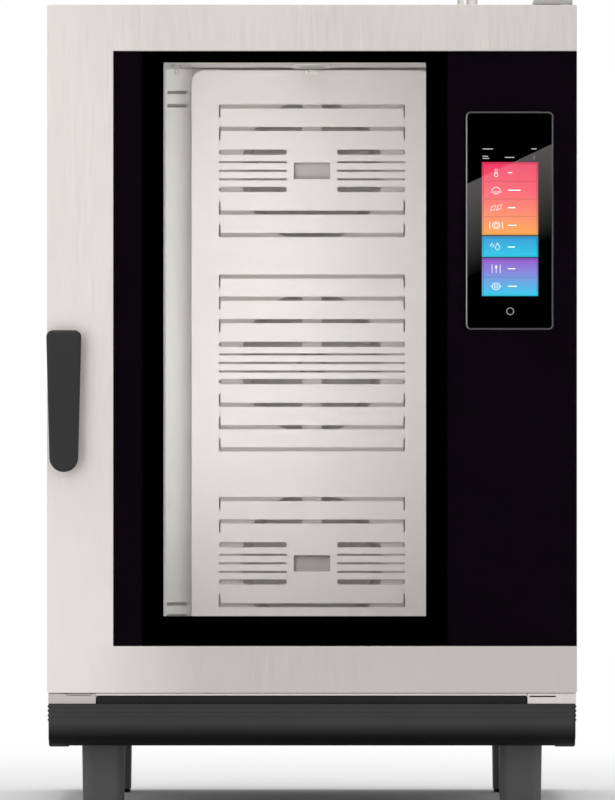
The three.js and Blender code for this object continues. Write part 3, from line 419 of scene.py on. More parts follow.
def galvanised(name, tone):
    """Zinc-coated sheet, with its large crystals."""
    s = Shader(name)
    crystal = s.add("TexVoronoi", {"Vector": s.place, "Scale": 90.0}).outputs["Color"]
    level = s.add("SeparateColor", {0: crystal}).outputs[0]
    s.surface(
        Base_Color=s.mix(level, tint(tone, 0.8), tint(tone, 1.1)),
        Metallic=1.0,
        Roughness=s.remap(level, 0, 1, 0.36, 0.58),
        Normal=s.bump(s.noise(700), 0.00005, 0.4),
    )


def moulded(name, tone, roughness, grain=1900, depth=0.00006, wear=0.12, shine=0.12, painted_shade_fall=None):
    """Moulded plastic or powder coat: a fine grain, with slow changes of tone and gloss. With a pair of fall
    heights, the tone is painted darker from the first height down to the second: painted shade low down."""
    s = Shader(name)
    fine = s.noise(grain, detail=3, roughness=0.6)
    cloud = s.noise(9, detail=3)
    colour = s.mix(s.remap(cloud, 0.3, 0.7), tint(tone, 1 - wear), tint(tone, 1 + wear))
    colour = s.mix(s.remap(fine, 0.35, 0.65, 0, 0.35), colour, tint(tone, 1.3))
    # Painted shade: the tone darkens towards the bottom.
    if painted_shade_fall:
        colour = s.mix(s.remap(s.axis("Z"), *painted_shade_fall), colour, tint(tone, 0.08))
    s.surface(
        Base_Color=colour,
        Roughness=s.math("ADD", s.remap(cloud, 0.3, 0.7, -0.04, 0.04), roughness),
        Specular_IOR_Level=shine,
        Normal=s.bump(fine, depth, 0.6),
    )


def cast(name, tone, metallic, roughness):
    """A rough cast or oxidised metal surface."""
    s = Shader(name)
    grit = s.noise(900, detail=4, roughness=0.65)
    stain = s.noise(14, detail=4)
    s.surface(
        Base_Color=s.mix(s.remap(stain, 0.35, 0.65), tint(tone, 0.75), tint(tone, 1.15)),
        Metallic=metallic,
        Roughness=s.math("ADD", s.remap(stain, 0.3, 0.7, -0.08, 0.08), roughness),
        Normal=s.bump(grit, 0.00012, 0.6),
    )


def pane(name, tone):
    """Clear float glass with a faint smear, whose shadow lets the light through."""
    s = Shader(name)
    smear = s.noise(6, (1, 1, 2.5), 4, 0.6)
    glass = s.principled(
        Base_Color=tone,
        Roughness=s.remap(smear, 0.45, 0.75, 0.0, 0.035),
        IOR=1.46,
        Transmission_Weight=1.0,
    )
    clear = s.add("BsdfTransparent", {"Color": tone}).outputs[0]
    shadow = s.add("LightPath").outputs["Is Shadow Ray"]
    s.end(s.add("MixShader", {0: shadow, 1: glass, 2: clear}).outputs[0])


def wool(name):
    """Mineral wool: matted fibres."""
    s = Shader(name)
    fibre = s.noise(900, (1, 0.12, 0.12), 4, 0.7)
    clump = s.noise(45, detail=4)
    s.surface(
        Base_Color=s.mix(s.remap(clump, 0.3, 0.7), rgb(188, 187, 185), rgb(222, 221, 219)),
        Roughness=s.remap(fibre, 0.3, 0.7, 0.85, 1.0),
        Normal=s.bump(s.math("ADD", fibre, clump), 0.002, 0.8),
        Sheen_Weight=0.25,
    )


def printed(s, share, lighter, speck):
    """Matt black ink with fine specks, lighter where the share is 1."""
    s.surface(
        Base_Color=s.mix(share, rgb(0, 0, 0), lighter),
        Roughness=s.remap(speck, 0.3, 0.7, 0.5, 0.62),
        Specular_IOR_Level=0.0,
    )


def glass_print(name):
    """The black enamel on the back of the door's glass: full black round the window, and a first, thinner
    coat beyond it, which is a shade lighter."""
    s = Shader(name)
    x = s.axis("X")
    reach = (WINDOW_X[1] - WINDOW_X[0]) / 2 + 0.031
    outside = s.math("GREATER_THAN", s.math("ABSOLUTE", s.math("SUBTRACT", x, middle(WINDOW_X))), reach)
    printed(s, outside, rgb(15, 10, 16), s.noise(500, detail=3))


def painted_sheen(s):
    """How strong the painted reflection on the touch screen is: a pale gradient, nothing above a slanting
    line, strongest just under it, and fading downwards."""
    left = SCREEN_Z[0] + 0.669 * (SCREEN_Z[1] - SCREEN_Z[0])
    line = s.math("ADD", s.math("MULTIPLY", s.math("SUBTRACT", s.axis("X"), SCREEN_X[0]), 0.468), left)
    under = s.math("SUBTRACT", line, s.axis("Z"))
    fade = s.remap(under, 0, 0.135, 1, 0)
    return s.math("MULTIPLY", fade, s.math("GREATER_THAN", under, 0.0))


def screen_print_and_sheen(name):
    s = Shader(name)
    # Black print on the touch glass, lighter grey where the painted reflection falls.
    printed(s, painted_sheen(s), rgb(96, 95, 95), s.noise(800, detail=2))


# The display's colours, from its bottom to its top: place in its height, and screen colour.
DISPLAY_COLOURS = [
    (0.0, (0, 205, 235)),
    (0.07, (78, 178, 230)),
    (0.17, (128, 134, 222)),
    (0.283, (150, 78, 205)),
    (0.287, (0, 203, 236)),
    (0.447, (0, 150, 214)),
    (0.452, (255, 168, 62)),
    (0.56, (255, 146, 92)),
    (0.76, (255, 88, 104)),
    (1.0, (240, 0, 88)),
]


def display_light(name, lift, strength):
    """The lit display: a gradient for each band of tiles, with a painted reflection, a pale gradient, over
    it.
    """
    s = Shader(name)
    ramp = s.add("ValToRGB", {0: s.remap(s.axis("Z"), *TILE_Z)})
    for i, (at, colour) in enumerate(DISPLAY_COLOURS):
        stop = ramp.color_ramp.elements[i] if i < 2 else ramp.color_ramp.elements.new(at)
        stop.position = at
        stop.color = rgb(*colour)
    pixels = s.noise(4000, detail=0)
    # The painted reflection whitens the display's colours a little under its slanting line.
    lifted = s.mix(s.math("ADD", s.math("MULTIPLY", painted_sheen(s), 0.07), lift), ramp.outputs[0], (1, 1, 1, 1))
    s.surface(
        Base_Color=rgb(2, 2, 2),
        Roughness=s.remap(pixels, 0.3, 0.7, 0.4, 0.5),
        Emission_Color=lifted,
        Emission_Strength=strength,
    )


def glowing(name, tone, strength, grain):
    """An even light: an icon's ink, or a lamp's lens."""
    s = Shader(name)
    patch = s.noise(grain, detail=2)
    colour = s.mix(s.remap(patch, 0.3, 0.7), tint(tone, 0.94), tone)
    s.surface(
        Base_Color=colour,
        Roughness=0.4,
        Emission_Color=colour,
        Emission_Strength=strength,
    )


# The door's steel, with painted shade below the glass's low edge.
brushed("door_steel", rgb(235, 230, 226), 0.36, "z", GLASS_Z[0])
brushed("bracket_steel", rgb(196, 191, 188), 0.38, "x")
brushed("case_steel", rgb(230, 226, 222), 0.36, "z")
brushed("roof_steel", rgb(230, 226, 222), 0.36, "y")
brushed("cavity_steel", rgb(232, 230, 228), 0.50, "z")
brushed("cover_steel", rgb(236, 233, 231), 0.54, "z")
# The intake's steel: a darker tone as painted shade behind the fan cover, and a lift as painted light through
# its slots.
brushed("intake_steel", rgb(214, 210, 207), 0.55, "z", lift=0.22)
# A darker copy of the steel: painted shade for the hub covers, which lie in shade behind the fan cover's
# opening.
brushed("shaded_hub_steel", rgb(196, 191, 188), 0.5, "z")
# The fan wheels' steel: a small lift, painted light, makes it glow faintly.
brushed("wheel_steel", rgb(218, 215, 212), 0.60, "y", lift=0.07)
brushed("turned_steel", rgb(215, 212, 208), 0.30, "y")
galvanised("zinc", rgb(176, 178, 180))
moulded("handle_plastic", rgb(46, 46, 46), 0.45)
# The tray: painted shade darkens its bottom, where it curves under.
moulded("tray_plastic", rgb(54, 54, 54), 0.5, painted_shade_fall=(0.124, 0.104))
moulded("lip_plastic", rgb(36, 35, 35), 0.5)
moulded("leg_plastic", rgb(82, 82, 82), 0.5, shine=0.3)
# The chassis: painted shade makes its lowest rails nearly black, under the oven.
moulded("chassis_coat", rgb(176, 176, 177), 0.5, shine=0.3, painted_shade_fall=(0.0994, 0.0986))
moulded("black_plastic", rgb(22, 22, 23), 0.42, shine=0.3)
moulded("pipe_plastic", rgb(92, 94, 96), 0.4)
moulded("rubber", rgb(24, 24, 25), 0.78, 2600, 0.0001)
moulded("silicone", rgb(42, 42, 44), 0.55, 1200, 0.00004)
cast("cast_metal", rgb(120, 122, 124), 0.7, 0.5)
cast("oxide_metal", rgb(74, 76, 66), 0.6, 0.55)
cast("brass_metal", rgb(196, 156, 92), 1.0, 0.32)
wool("mineral_wool")
pane("clear_glass", (0.985, 0.985, 0.98, 1.0))
# A grey ink that is painted highlight along the touch glass's edge.
moulded("edge_highlight_ink", rgb(98, 98, 98), 0.5, 2200, 0.00001)
glowing("mark_ink", rgb(190, 190, 190), 0.32, 900)
glowing("display_ink", rgb(250, 250, 250), 0.75, 900)
glowing("lamp_glass", rgb(190, 189, 186), 0.12, 60)
display_light("display_bands", 0.0, 0.82)
display_light("display_cards", 0.012, 1.04)
glass_print("glass_print")
screen_print_and_sheen("screen_print_and_sheen")


# ---------------------------------------------------------------- the door

BANDS = [(0.0, 0.2835, 2), (0.291, 0.448, 1), (0.455, 1.0, 4)]  # low, high and number of rows


def door_glass():
    rim = 0.0007
    back = GLASS_Y[1]
    outline = rounded_rect(GLASS_X, GLASS_Z, 0.001)
    opening = rounded_rect(inset(SCREEN_X, -rim), inset(SCREEN_Z, -rim), 0.006 + rim)
    bm = bmesh.new()
    plate(bm, "front", outline, [opening], GLASS_Y, 0.0008)
    make("outer_pane", bm, "door", "clear_glass", "outer_glass")
    bm = bmesh.new()
    window = rounded_rect(WINDOW_X, WINDOW_Z, 0.001)
    plate(bm, "front", outline, [opening, window], (back + 0.00005, back + 0.0002), 0.00003)
    add("glass_print", bm, "door", "glass_print")
    # The bright spacer bar behind the window's free edge.
    bm = bmesh.new()
    bar = (WINDOW_X[0] - 0.004, WINDOW_X[0] + 0.003)
    block(bm, bar, (back + 0.0004, back + 0.012), inset(WINDOW_Z, -0.004))
    add("window_spacer", bm, "door", "turned_steel")


def inner_pane():
    bm = bmesh.new()
    panel(bm, "front", INNER_X, INNER_Z, 0.010, INNER_Y, 0.0006, steps=10)
    make("inner_pane", bm, "door", "clear_glass", "inner_glass")
    bm = bmesh.new()
    button = mm((7, 0), (7, 0.8), (6, 1.6), (3, 2))
    for x in inset(INNER_X, 0.014):
        for z in inset(INNER_Z, 0.014):
            lathe(bm, "y", (x, z), button, 32, INNER_Y[1] + 0.0001)
    add("inner_pane_buttons", bm, "door", "turned_steel")


def touch_screen():
    back = SCREEN_Y[1]
    outline = rounded_rect(SCREEN_X, SCREEN_Z, 0.006, 8)
    bm = bmesh.new()
    plate(bm, "front", outline, [], SCREEN_Y, 0.0005)
    make("touch_pane", bm, "door", "clear_glass", "touch_glass")
    bm = bmesh.new()
    opening = rounded_rect(DISPLAY_INNER_X, TILE_Z, 0.0003, 2)
    plate(bm, "front", outline, [opening], (back + 0.0001, back + 0.0002), 0.00002)
    add("screen_print_and_sheen", bm, "door", "screen_print_and_sheen")
    # Printed on the glass: a thin grey frame line, which is painted highlight on the touch glass's edge, the
    # home key's ring and the marks over the display.
    layer = (back + 0.00003, back + 0.00008)
    ink = 0.00001
    line = 0.0011
    bm = bmesh.new()
    within = rounded_rect(inset(SCREEN_X, line), inset(SCREEN_Z, line), 0.005, 8)
    plate(bm, "front", outline, [within], layer, ink)
    add("screen_edge_highlight", bm, "door", "edge_highlight_ink")
    bm = bmesh.new()
    home = (middle(SCREEN_X) + 0.0008, SCREEN_Z[0] + 0.0253)
    plate(bm, "front", circle(home, 0.0053), [circle(home, 0.0046)], layer, ink)
    left, right, top = DISPLAY_INNER_X[0] + 0.001, DISPLAY_INNER_X[1] - 0.002, TILE_Z[1]
    bars = [(left, 0.015, 0.0188), (right - 0.008, 0.008, 0.0188)]  # start, length and height above
    bars += [(left, 0.008, 0.0082), (left, 0.0095, 0.0052), (middle(DISPLAY_INNER_X) - 0.0075, 0.014, 0.0066)]
    for start, length, above in bars:
        panel(bm, "front", (start, start + length), around(top + above, 0.0006), 0.0005, layer, ink, steps=3)
    for above in (0.0045, 0.0066, 0.0087):
        plate(bm, "front", circle((right - 0.004, top + above), 0.0006, 12), [], layer, ink)
    add("screen_marks", bm, "door", "mark_ink")


def display():
    front = DISPLAY_Y[0]
    bm = bmesh.new()
    block(bm, DISPLAY_X, (front + 0.00008, DISPLAY_Y[1]), DISPLAY_Z, 0.0004)
    make("display_body", bm, "door", "black_plastic", "display_panel")
    bands, cards = bmesh.new(), bmesh.new()
    band_y, card_y = (front + 0.00004, front + 0.00006), (front + 0.00001, front + 0.00003)
    gap, edge = 0.0013, 0.002
    rows = []
    for *ends, count in BANDS:
        z = [TILE_Z[0] + share * (TILE_Z[1] - TILE_Z[0]) for share in ends]
        panel(bands, "front", DISPLAY_INNER_X, z, 0.0003, band_y, 0.000005, steps=2)
        height = (z[1] - z[0] - 2 * edge) / count
        for row in range(count):
            low = z[0] + edge + row * height
            card = (low, low + height - gap)
            panel(cards, "front", inset(DISPLAY_INNER_X, 0.003), card, 0.0008, card_y, 0.000005, steps=3)
            rows.append(middle(card))
    add("display_bands", bands, "door", "display_bands")
    add("display_cards", cards, "door", "display_cards")
    display_marks(front, rows)


def circle_line(x, z, radius, steps=20):
    return circle((x, z), radius, steps) + [(x + radius, z)]


# Generic signs, as lines in a square from -1 to 1: a gear, sliders, drops, a plate, leaves, a cloche
# and a thermometer.
DROP = [(0.3, 0.9), (-0.2, -0.2), (0.3, -0.7), (0.8, -0.2), (0.3, 0.9)]
LEAF_LEFT = [(-1.1, -0.7), (-0.9, 0.2), (-0.1, 0.6), (-0.3, -0.4), (-1.1, -0.7)]
LEAF_RIGHT = [(0.1, -0.6), (0.3, 0.4), (1.1, 0.8), (0.9, -0.2), (0.1, -0.6)]
ICONS = [
    [circle_line(0, 0, 0.35), circle_line(0, 0, 0.8, 8), [(-1.1, 0), (-0.8, 0)], [(0.8, 0), (1.1, 0)]],
    [[(x, -0.9), (x, 0.9)] for x in (-0.8, 0, 0.8)] + [circle_line(0, 0.3, 0.22)],
    [[(-1.2, 0.2), (-0.7, 0.9)], [(-0.8, -0.1), (-0.4, 0.5)], DROP],
    [circle_line(0, 0, 0.75), circle_line(0, 0, 0.4)] + [[(x, -0.8), (x, 0.8)] for x in (-1.25, 1.25)],
    [LEAF_LEFT, LEAF_RIGHT],
    [arc((0, -0.2), 0.85, 0, 180, 16), [(-1.05, -0.4), (1.05, -0.4)], [(-0.5, -0.8), (0.5, -0.8)]],
    [circle_line(0, -0.5, 0.38), [(-0.2, -0.2), (-0.2, 0.8), (0.2, 0.8), (0.2, -0.2)]],
]
LABEL_LENGTHS = [0.013, 0.0105, 0.010, 0.0125, 0.0105, 0.018, 0.006]


def display_marks(front, rows):
    """White signs and label bars on the cards, pressed almost flat."""
    bm = bmesh.new()
    icon_x, label_x = DISPLAY_INNER_X[0] + 0.0205, DISPLAY_INNER_X[0] + 0.0375
    size = 0.0072
    for z, lines, length in zip(rows, ICONS, LABEL_LENGTHS):
        for line in lines:
            tube(bm, [(icon_x + size * u, front, z + size * 0.9 * v) for u, v in line], 0.00032, 6)
        tube(bm, [(label_x, front, z), (label_x + length, front, z)], 0.00062, 8)
    for vertex in bm.verts:
        vertex.co.y = front - 0.00004 + (vertex.co.y - front) * 0.05
    add("display_marks", bm, "door", "display_ink")


def door_body():
    dress("door_frame", "door_steel", 0.0008)
    dress("door_liner", "cavity_steel", 0.0006)
    dress("screen_housing", "black_plastic", 0.0008)
    bm = bmesh.new()
    for x in inset(DOOR_X, 0.06):
        screws(bm, "y", [(x, z) for z in spaced(DOOR_Z, 0.06, 5)], spans("door_liner")[1][1], 0.004)
    add("liner_screws", bm, "door", "turned_steel")


def handle():
    x, y, z = spans("handle_grip")
    centre, top_half = middle(x), (x[1] - x[0]) / 2
    bottom_half = 0.824 * top_half
    corner, thick = 0.010, 0.026
    outline = arc((centre, z[0] + bottom_half), bottom_half, 180, 360, 24)
    outline += arc((centre + top_half - corner, z[1] - corner), corner, 0, 90, 10)
    outline += arc((centre - top_half + corner, z[1] - corner), corner, 90, 180, 10)
    bm = bmesh.new()
    plate(bm, "front", outline, [], (y[0], y[0] + thick), 0.0055, 6)
    neck = [(0.019, y[0] + thick - 0.002), (0.0185, y[1] - 0.006), (0.021, y[1] - 0.002), (0.021, y[1])]
    lathe(bm, "y", (centre, middle(spans("handle_spindle")[2])), neck)
    make("handle_lever", bm, "handle", "handle_plastic", "handle_grip")
    dress("handle_spindle", "turned_steel", 0.0004)
    dress("latch_cam", "turned_steel", 0.0006)


# ---------------------------------------------------------------- the casing


def slots(x, rows, height):
    """Slot outlines with round ends, one for each row's middle."""
    return [rounded_rect(x, around(z, height / 2), height * 0.48, 4) for z in rows]


def side_sheets():
    for side, node in ((-1, "side_panel_left"), (1, "side_panel_right")):
        x, y, z = spans(node)
        rows = [0.1925 + 0.018 * i for i in range(6)]
        bm = bmesh.new()
        plate(bm, "side", rounded_rect(y, z, 0.0015), slots((0.270, 0.400), rows, 0.005), x, 0.0007)
        make(f"side_sheet_{node[11:]}", bm, "oven", "case_steel", node)
        bm = bmesh.new()
        places = [(y[1] - 0.018, z[0] + 0.15 + i * 0.2) for i in range(5)]
        screws(bm, "x", places, x[(side + 1) // 2], 0.0038, side)
        add(f"side_screws_{node[11:]}", bm, "oven", "turned_steel")


def roof():
    x, y, z = spans("top_cover")
    centre = (middle(spans("vent_damper")[0]), middle(spans("vent_chimney")[1]))
    bm = bmesh.new()
    panel(bm, "top", x, y, 0.003, z, 0.0008, [circle(centre, 0.016)])
    make("roof_sheet", bm, "oven", "roof_steel", "top_cover")
    bm = bmesh.new()
    places = [(at, y[1] - 0.016) for at in spaced(x, 0.05, 6)]
    places += [(side * 0.955, y[0] + 0.12 + i * 0.25) for side in x for i in range(3)]
    screws(bm, "z", places, z[1], 0.0038)
    add("roof_screws", bm, "oven", "turned_steel")
    vent(centre, *spans("vent_chimney")[2])


def vent(centre, low, top):
    """The duct on the cooking space's ceiling, its pipe through the roof with a rolled rim, and a collar."""
    outer, wall = 0.015, 0.002
    duct_top = CASE_TOP - 0.006
    bm = bmesh.new()
    panel(bm, "top", (0.182, 0.245), around(centre[1], outer), 0.004, (low, duct_top), 0.0006)
    pipe = [
        (outer, duct_top - 0.001),
        (outer, top - 0.004),
        (outer + 0.0003, top - 0.0012),
        (outer - 0.0002, top - 0.0002),
        (outer - 0.001, top),
        (outer - wall + 0.0002, top - 0.0006),
        (outer - wall, top - 0.002),
        (outer - wall, duct_top + 0.001),
    ]
    lathe(bm, "z", centre, pipe, 56, closed=True)
    collar = mm((15.5, 0), (26, 0), (26, 1), (24.5, 2.2), (18, 2.7), (15.5, 5))
    lathe(bm, "z", centre, collar, 56, CASE_TOP + 0.0003, closed=True)
    make("vent_pipe", bm, "oven", "turned_steel", "vent_chimney")
    bm = bmesh.new()
    reach, _, z = spans("vent_damper")
    disc = mm((4, -0.8), (11.8, -0.7), (12.2, 0), (11.8, 0.7), (4, 0.8))
    lathe(bm, "z", centre, disc, 40, middle(z))
    lathe(bm, "x", (centre[1], middle(z)), [(0.0016, reach[0]), (0.0016, reach[1])], 20)
    make("damper_disc", bm, "damper", "turned_steel", "vent_damper")


def rear():
    x, y, z = spans("rear_panel")
    back = y[1]
    front = back - SHEET
    fan_x, _, fan_z = spans("cooling_fan_rotor")
    cooler = (middle(fan_x), middle(fan_z))
    rows = [0.334 + 0.030 * i for i in range(6)]
    holes = slots((-0.260, -0.060), rows, 0.008) + slots((0.060, 0.260), rows, 0.008)
    holes += [circle(cooler, 0.056, 64), circle((0, 0.130), 0.021)]
    holes += [circle((-0.250, 0.150), 0.010), circle((0.150, 0.150), 0.009)]
    bm = bmesh.new()
    panel(bm, "front", x, z, 0.002, (front, back), 0.0006, holes)
    # A hood over each louvre.
    for column in ((-0.264, -0.056), (0.056, 0.264)):
        for row in rows:
            hood = mm((-0.5, 10), (4.5, -1), (4.5, -2.2), (-0.5, 7.5))
            plate(bm, "side", [(back + v, row + w) for v, w in hood], [], column, 0.0003)
    guard = [(0.056, front + 0.0004), (0.0585, front + 0.0004), (0.0585, y[0] + 0.001)]
    guard += [(0.0575, y[0]), (0.0565, y[0]), (0.056, y[0] + 0.001)]
    lathe(bm, "y", cooler, guard, 64, closed=True)
    make("rear_sheet", bm, "oven", "case_steel", "rear_panel")
    # The cooling fan's finger guard and bearing plate.
    bm = bmesh.new()
    level = back + 0.0022
    for radius in (0.026, 0.036, 0.046, 0.056):
        tube(bm, ring("y", cooler, radius, level, 56), 0.0009, 8, closed=True)
    for degrees in (90, 210, 330):
        ends = [arc(cooler, radius, degrees, degrees, 1)[0] for radius in (0.012, 0.062)]
        tube(bm, [(u, level - 0.0012, w) for u, w in ends], 0.0014, 10)
        screw(bm, "y", ends[1], back, 0.004)
    lathe(bm, "y", cooler, [(0.020, front)] + [(r, back + v) for r, v in mm((20, -0.4), (19.6, 0), (6, 0.4))])
    add("fan_guard", bm, "oven", "turned_steel")
    bm = bmesh.new()
    places = [(side * 0.955, at) for at in spaced(z, 0.05, 6) for side in x]
    places += [(side, at) for at in (0.62, 0.80, 1.09) for side in (-0.15, 0, 0.15)]
    screws(bm, "y", places, back, 0.004)
    add("rear_screws", bm, "oven", "turned_steel")


def front_lip():
    x, y, z = spans("front_lip")
    corner = 0.0045
    outline = [(x[0], z[0]), (x[1], z[0])] + arc((x[1] - corner, z[1] - corner), corner, 0, 90, 8)
    outline += arc((x[0] + corner, z[1] - corner), corner, 90, 180, 8)
    bm = bmesh.new()
    plate(bm, "front", outline, [], y, 0.0012, 3)
    make("lip_strip", bm, "oven", "lip_plastic", "front_lip")
    # The steel corner that each bracket shows above the lip's round corner.
    bm = bmesh.new()
    for at, side in ((x[0], 1), (x[1], -1)):
        curve = arc((at + side * corner, z[1] - corner), corner + 0.0003, 90, 180 if side > 0 else 0, 8)
        plate(bm, "front", [(at, z[1] + 0.0003)] + curve, [], (y[0] + 0.001, y[0] + 0.004), 0.0001, 1)
    add("bracket_corners", bm, "oven", "bracket_steel")


def casing():
    dress("front_frame", "case_steel", 0.0006)
    dress("base_chassis", "chassis_coat", 0.0006)
    front_lip()
    dress("door_rest_bracket", "bracket_steel", 0.0007)
    dress("bottom_hinge_bracket", "case_steel", 0.0007)
    dress("top_hinge_bracket", "turned_steel", 0.0008)
    dress("latch_keeper", "zinc", 0.0004)
    dress("insulation_blanket", "mineral_wool", 0.003)
    dress("control_box", "zinc", 0.0012)
    side_sheets()
    roof()
    rear()
    gasket()


def gasket():
    """A silicone bulb with a lip at its foot, run round the oven's mouth."""
    x, y, z = spans("door_gasket")
    half, corner = 0.006, 0.013
    back, front = y[1], y[0]
    right = [(0.005, back), (0.0056, back - 0.0016), (0.0035, back - 0.0030)]
    right += [(0.0052, back - 0.0052), (0.0030, front + 0.0003)]
    section = [(-n, v) for n, v in right[:1]] + right + [(0.0, front)]
    section += [(-n, v) for n, v in right[:0:-1]]
    low, high = inset(inset(x, half), corner), inset(inset(z, half), corner)
    rings = []
    for cx, cz, start in turns(low, high):
        for step in range(9):
            angle = math.radians(start + 90 * step / 8)
            u, w = math.cos(angle), math.sin(angle)
            rings.append([(cx + u * (corner + n), v, cz + w * (corner + n)) for n, v in section])
    bm = bmesh.new()
    loft(bm, rings, closed=True)
    make("gasket_bulb", bm, "oven", "silicone", "door_gasket", 50)


# ---------------------------------------------------------------- the cooking space


def cavity():
    for part in ("left_wall", "right_wall", "ceiling", "floor", "back_wall"):
        dress(f"cavity_{part}", "cavity_steel", 0.0006)
    lamp()
    probe()
    strainer()


def lamp():
    x, y, z = spans("ceiling_lamp")
    trim = (z[0] + 0.0012, z[0] + 0.0024)
    glass_x, glass_y = inset(x, 0.009), inset(y, 0.009)
    bm = bmesh.new()
    panel(bm, "top", x, y, 0.006, trim, 0.0004, [rounded_rect(glass_x, glass_y, 0.003)])
    panel(bm, "top", inset(x, 0.0075), inset(y, 0.0075), 0.004, (trim[0] + 0.0008, z[1]), 0.0008)
    make("lamp_housing", bm, "oven", "turned_steel", "ceiling_lamp")
    bm = bmesh.new()
    lens = (z[0] + 0.0005, trim[1] - 0.0001)
    panel(bm, "top", inset(x, 0.0092), inset(y, 0.0092), 0.003, lens, 0.0002)
    count, level = 24, z[0] + 0.0007
    for i in range(count):
        at = glass_y[0] + (i + 0.5) * (glass_y[1] - glass_y[0]) / count
        tube(bm, [(end, at, level) for end in inset(glass_x, 0.003)], 0.0006, 8)
    add("lamp_lens", bm, "oven", "lamp_glass")


def probe():
    """A thin rod that runs down from the ceiling and back, on a small disc."""
    x, y, z = spans("cavity_probe")
    centre, at, top = middle(x), middle(y), z[1]
    bm = bmesh.new()
    line = mm((-2.2, 0), (-2.2, -11.5), (0, -13.6), (2.2, -11.5), (2.2, 0))
    tube(bm, curved([(centre + u, at, top + w) for u, w in line], 6), 0.0012, 12)
    lathe(bm, "z", (centre, at), mm((8, 0), (8, -0.6), (6.8, -1.5), (2, -1.6)), 40, top)
    make("probe_loop", bm, "oven", "turned_steel", "cavity_probe")


def strainer():
    x, y, z = spans("drain_strainer")
    centre = (middle(x), middle(y))
    holes = [circle(centre, 0.0022, 12)]
    for radius, count in ((0.008, 6), (0.015, 12), (0.022, 18)):
        holes += [circle(at, 0.0022, 12) for at in circle(centre, radius, count)]
    bm = bmesh.new()
    plate(bm, "top", circle(centre, 0.030, 56), holes, z, 0.0006)
    make("strainer_disc", bm, "oven", "turned_steel", "drain_strainer")


COVER_X, COVER_Y, COVER_Z = spans("fan_cover")
COVER_Z = (COVER_Z[0], COVER_Z[1] + 0.0018)  # its top shows a little higher in the photograph
COVER_SHEET = 0.0012
SLOT_END = 0.1387
HUB_EDGE = 0.0377


def hooked_slot(z, toward):
    """A long slot whose ends turn towards the fan's centre, up or down."""
    half, hook, width = 0.0029, 0.0164, 0.0019
    right = [(SLOT_END, -half), (SLOT_END, hook), (SLOT_END - width, hook), (SLOT_END - width, half)]
    left = [(-u, w) for u, w in right[::-1]]
    outline = left[-1:] + right + left[:-1]
    return rounded([(u, z + toward * w) for u, w in outline], 0.0022, 4)


def fan_cover():
    front, back = COVER_Y
    outer = rounded_rect(COVER_X, COVER_Z, 0.019, 12)
    holes = []
    wide, thin = 0.0075, 0.0028
    for level, z in FANS.items():
        split = level != "middle"
        rows = [0.0625, 0.096] + ([] if split else [0.129])
        holes += [hooked_slot(z + side * row, -side) for side in (-1, 1) for row in rows]
        parts = [(-SLOT_END, -HUB_EDGE), (HUB_EDGE, SLOT_END)] if split else [(-SLOT_END, SLOT_END)]
        for row, height in ((-0.0278, wide), (-0.0128, thin), (0, thin), (0.0128, thin), (0.0278, wide)):
            for x in parts:
                holes += slots(x, [z + row], height)
        if split:
            holes.append(rounded_rect((-0.027, 0.027), around(z, 0.0121), 0.0015))
    bm = bmesh.new()
    plate(bm, "front", outer, holes, (front, front + COVER_SHEET), 0.0004)
    lip = rounded_rect(inset(COVER_X, 0.0016), inset(COVER_Z, 0.0016), 0.0174, 12)
    plate(bm, "front", outer, [lip], (front + COVER_SHEET / 2, back), 0.0004)
    make("cover_sheet", bm, "cover", "cover_steel", "fan_cover")
    x, y, z = spans("cover_fastener")
    bm = bmesh.new()
    panel(bm, "front", x, z, 0.0025, (y[1] - 0.0015, y[1]), 0.0005)
    for side in (-0.0065, 0.0065):
        head = [(0.0022, y[1] - 0.001), (0.0022, y[0] + 0.0012), (0.0018, y[0] + 0.0003), (0.0006, y[0])]
        lathe(bm, "y", (middle(x) + side, z[1] - 0.003), head, 32)
    make("cover_clip", bm, "cover", "turned_steel", "cover_fastener")


INLET_R = 0.106
STRIP = 0.015  # half the width of the strips that cross an inlet


def inlet_outline(z, split):
    """A round inlet that a strip crosses above the hub, with a hub plate under it, or with a second
    strip below."""
    edge = math.degrees(math.acos(STRIP / INLET_R))
    if split:
        plate_half, low, high = 0.034, z - 0.016, z + 0.020
        outline = arc((0, z), INLET_R, edge, -180 - edge, 64)
        outline += [(-STRIP, high), (-plate_half, high), (-plate_half, low), (plate_half, low)]
        return outline + [(plate_half, high), (STRIP, high)]
    reach = 0.018
    outline = arc((0, z), INLET_R, edge, -edge, 32) + [(STRIP, z - reach), (-STRIP, z - reach)]
    outline += arc((0, z), INLET_R, -180 + edge, -180 - edge, 32)
    return outline + [(-STRIP, z + reach), (STRIP, z + reach)]


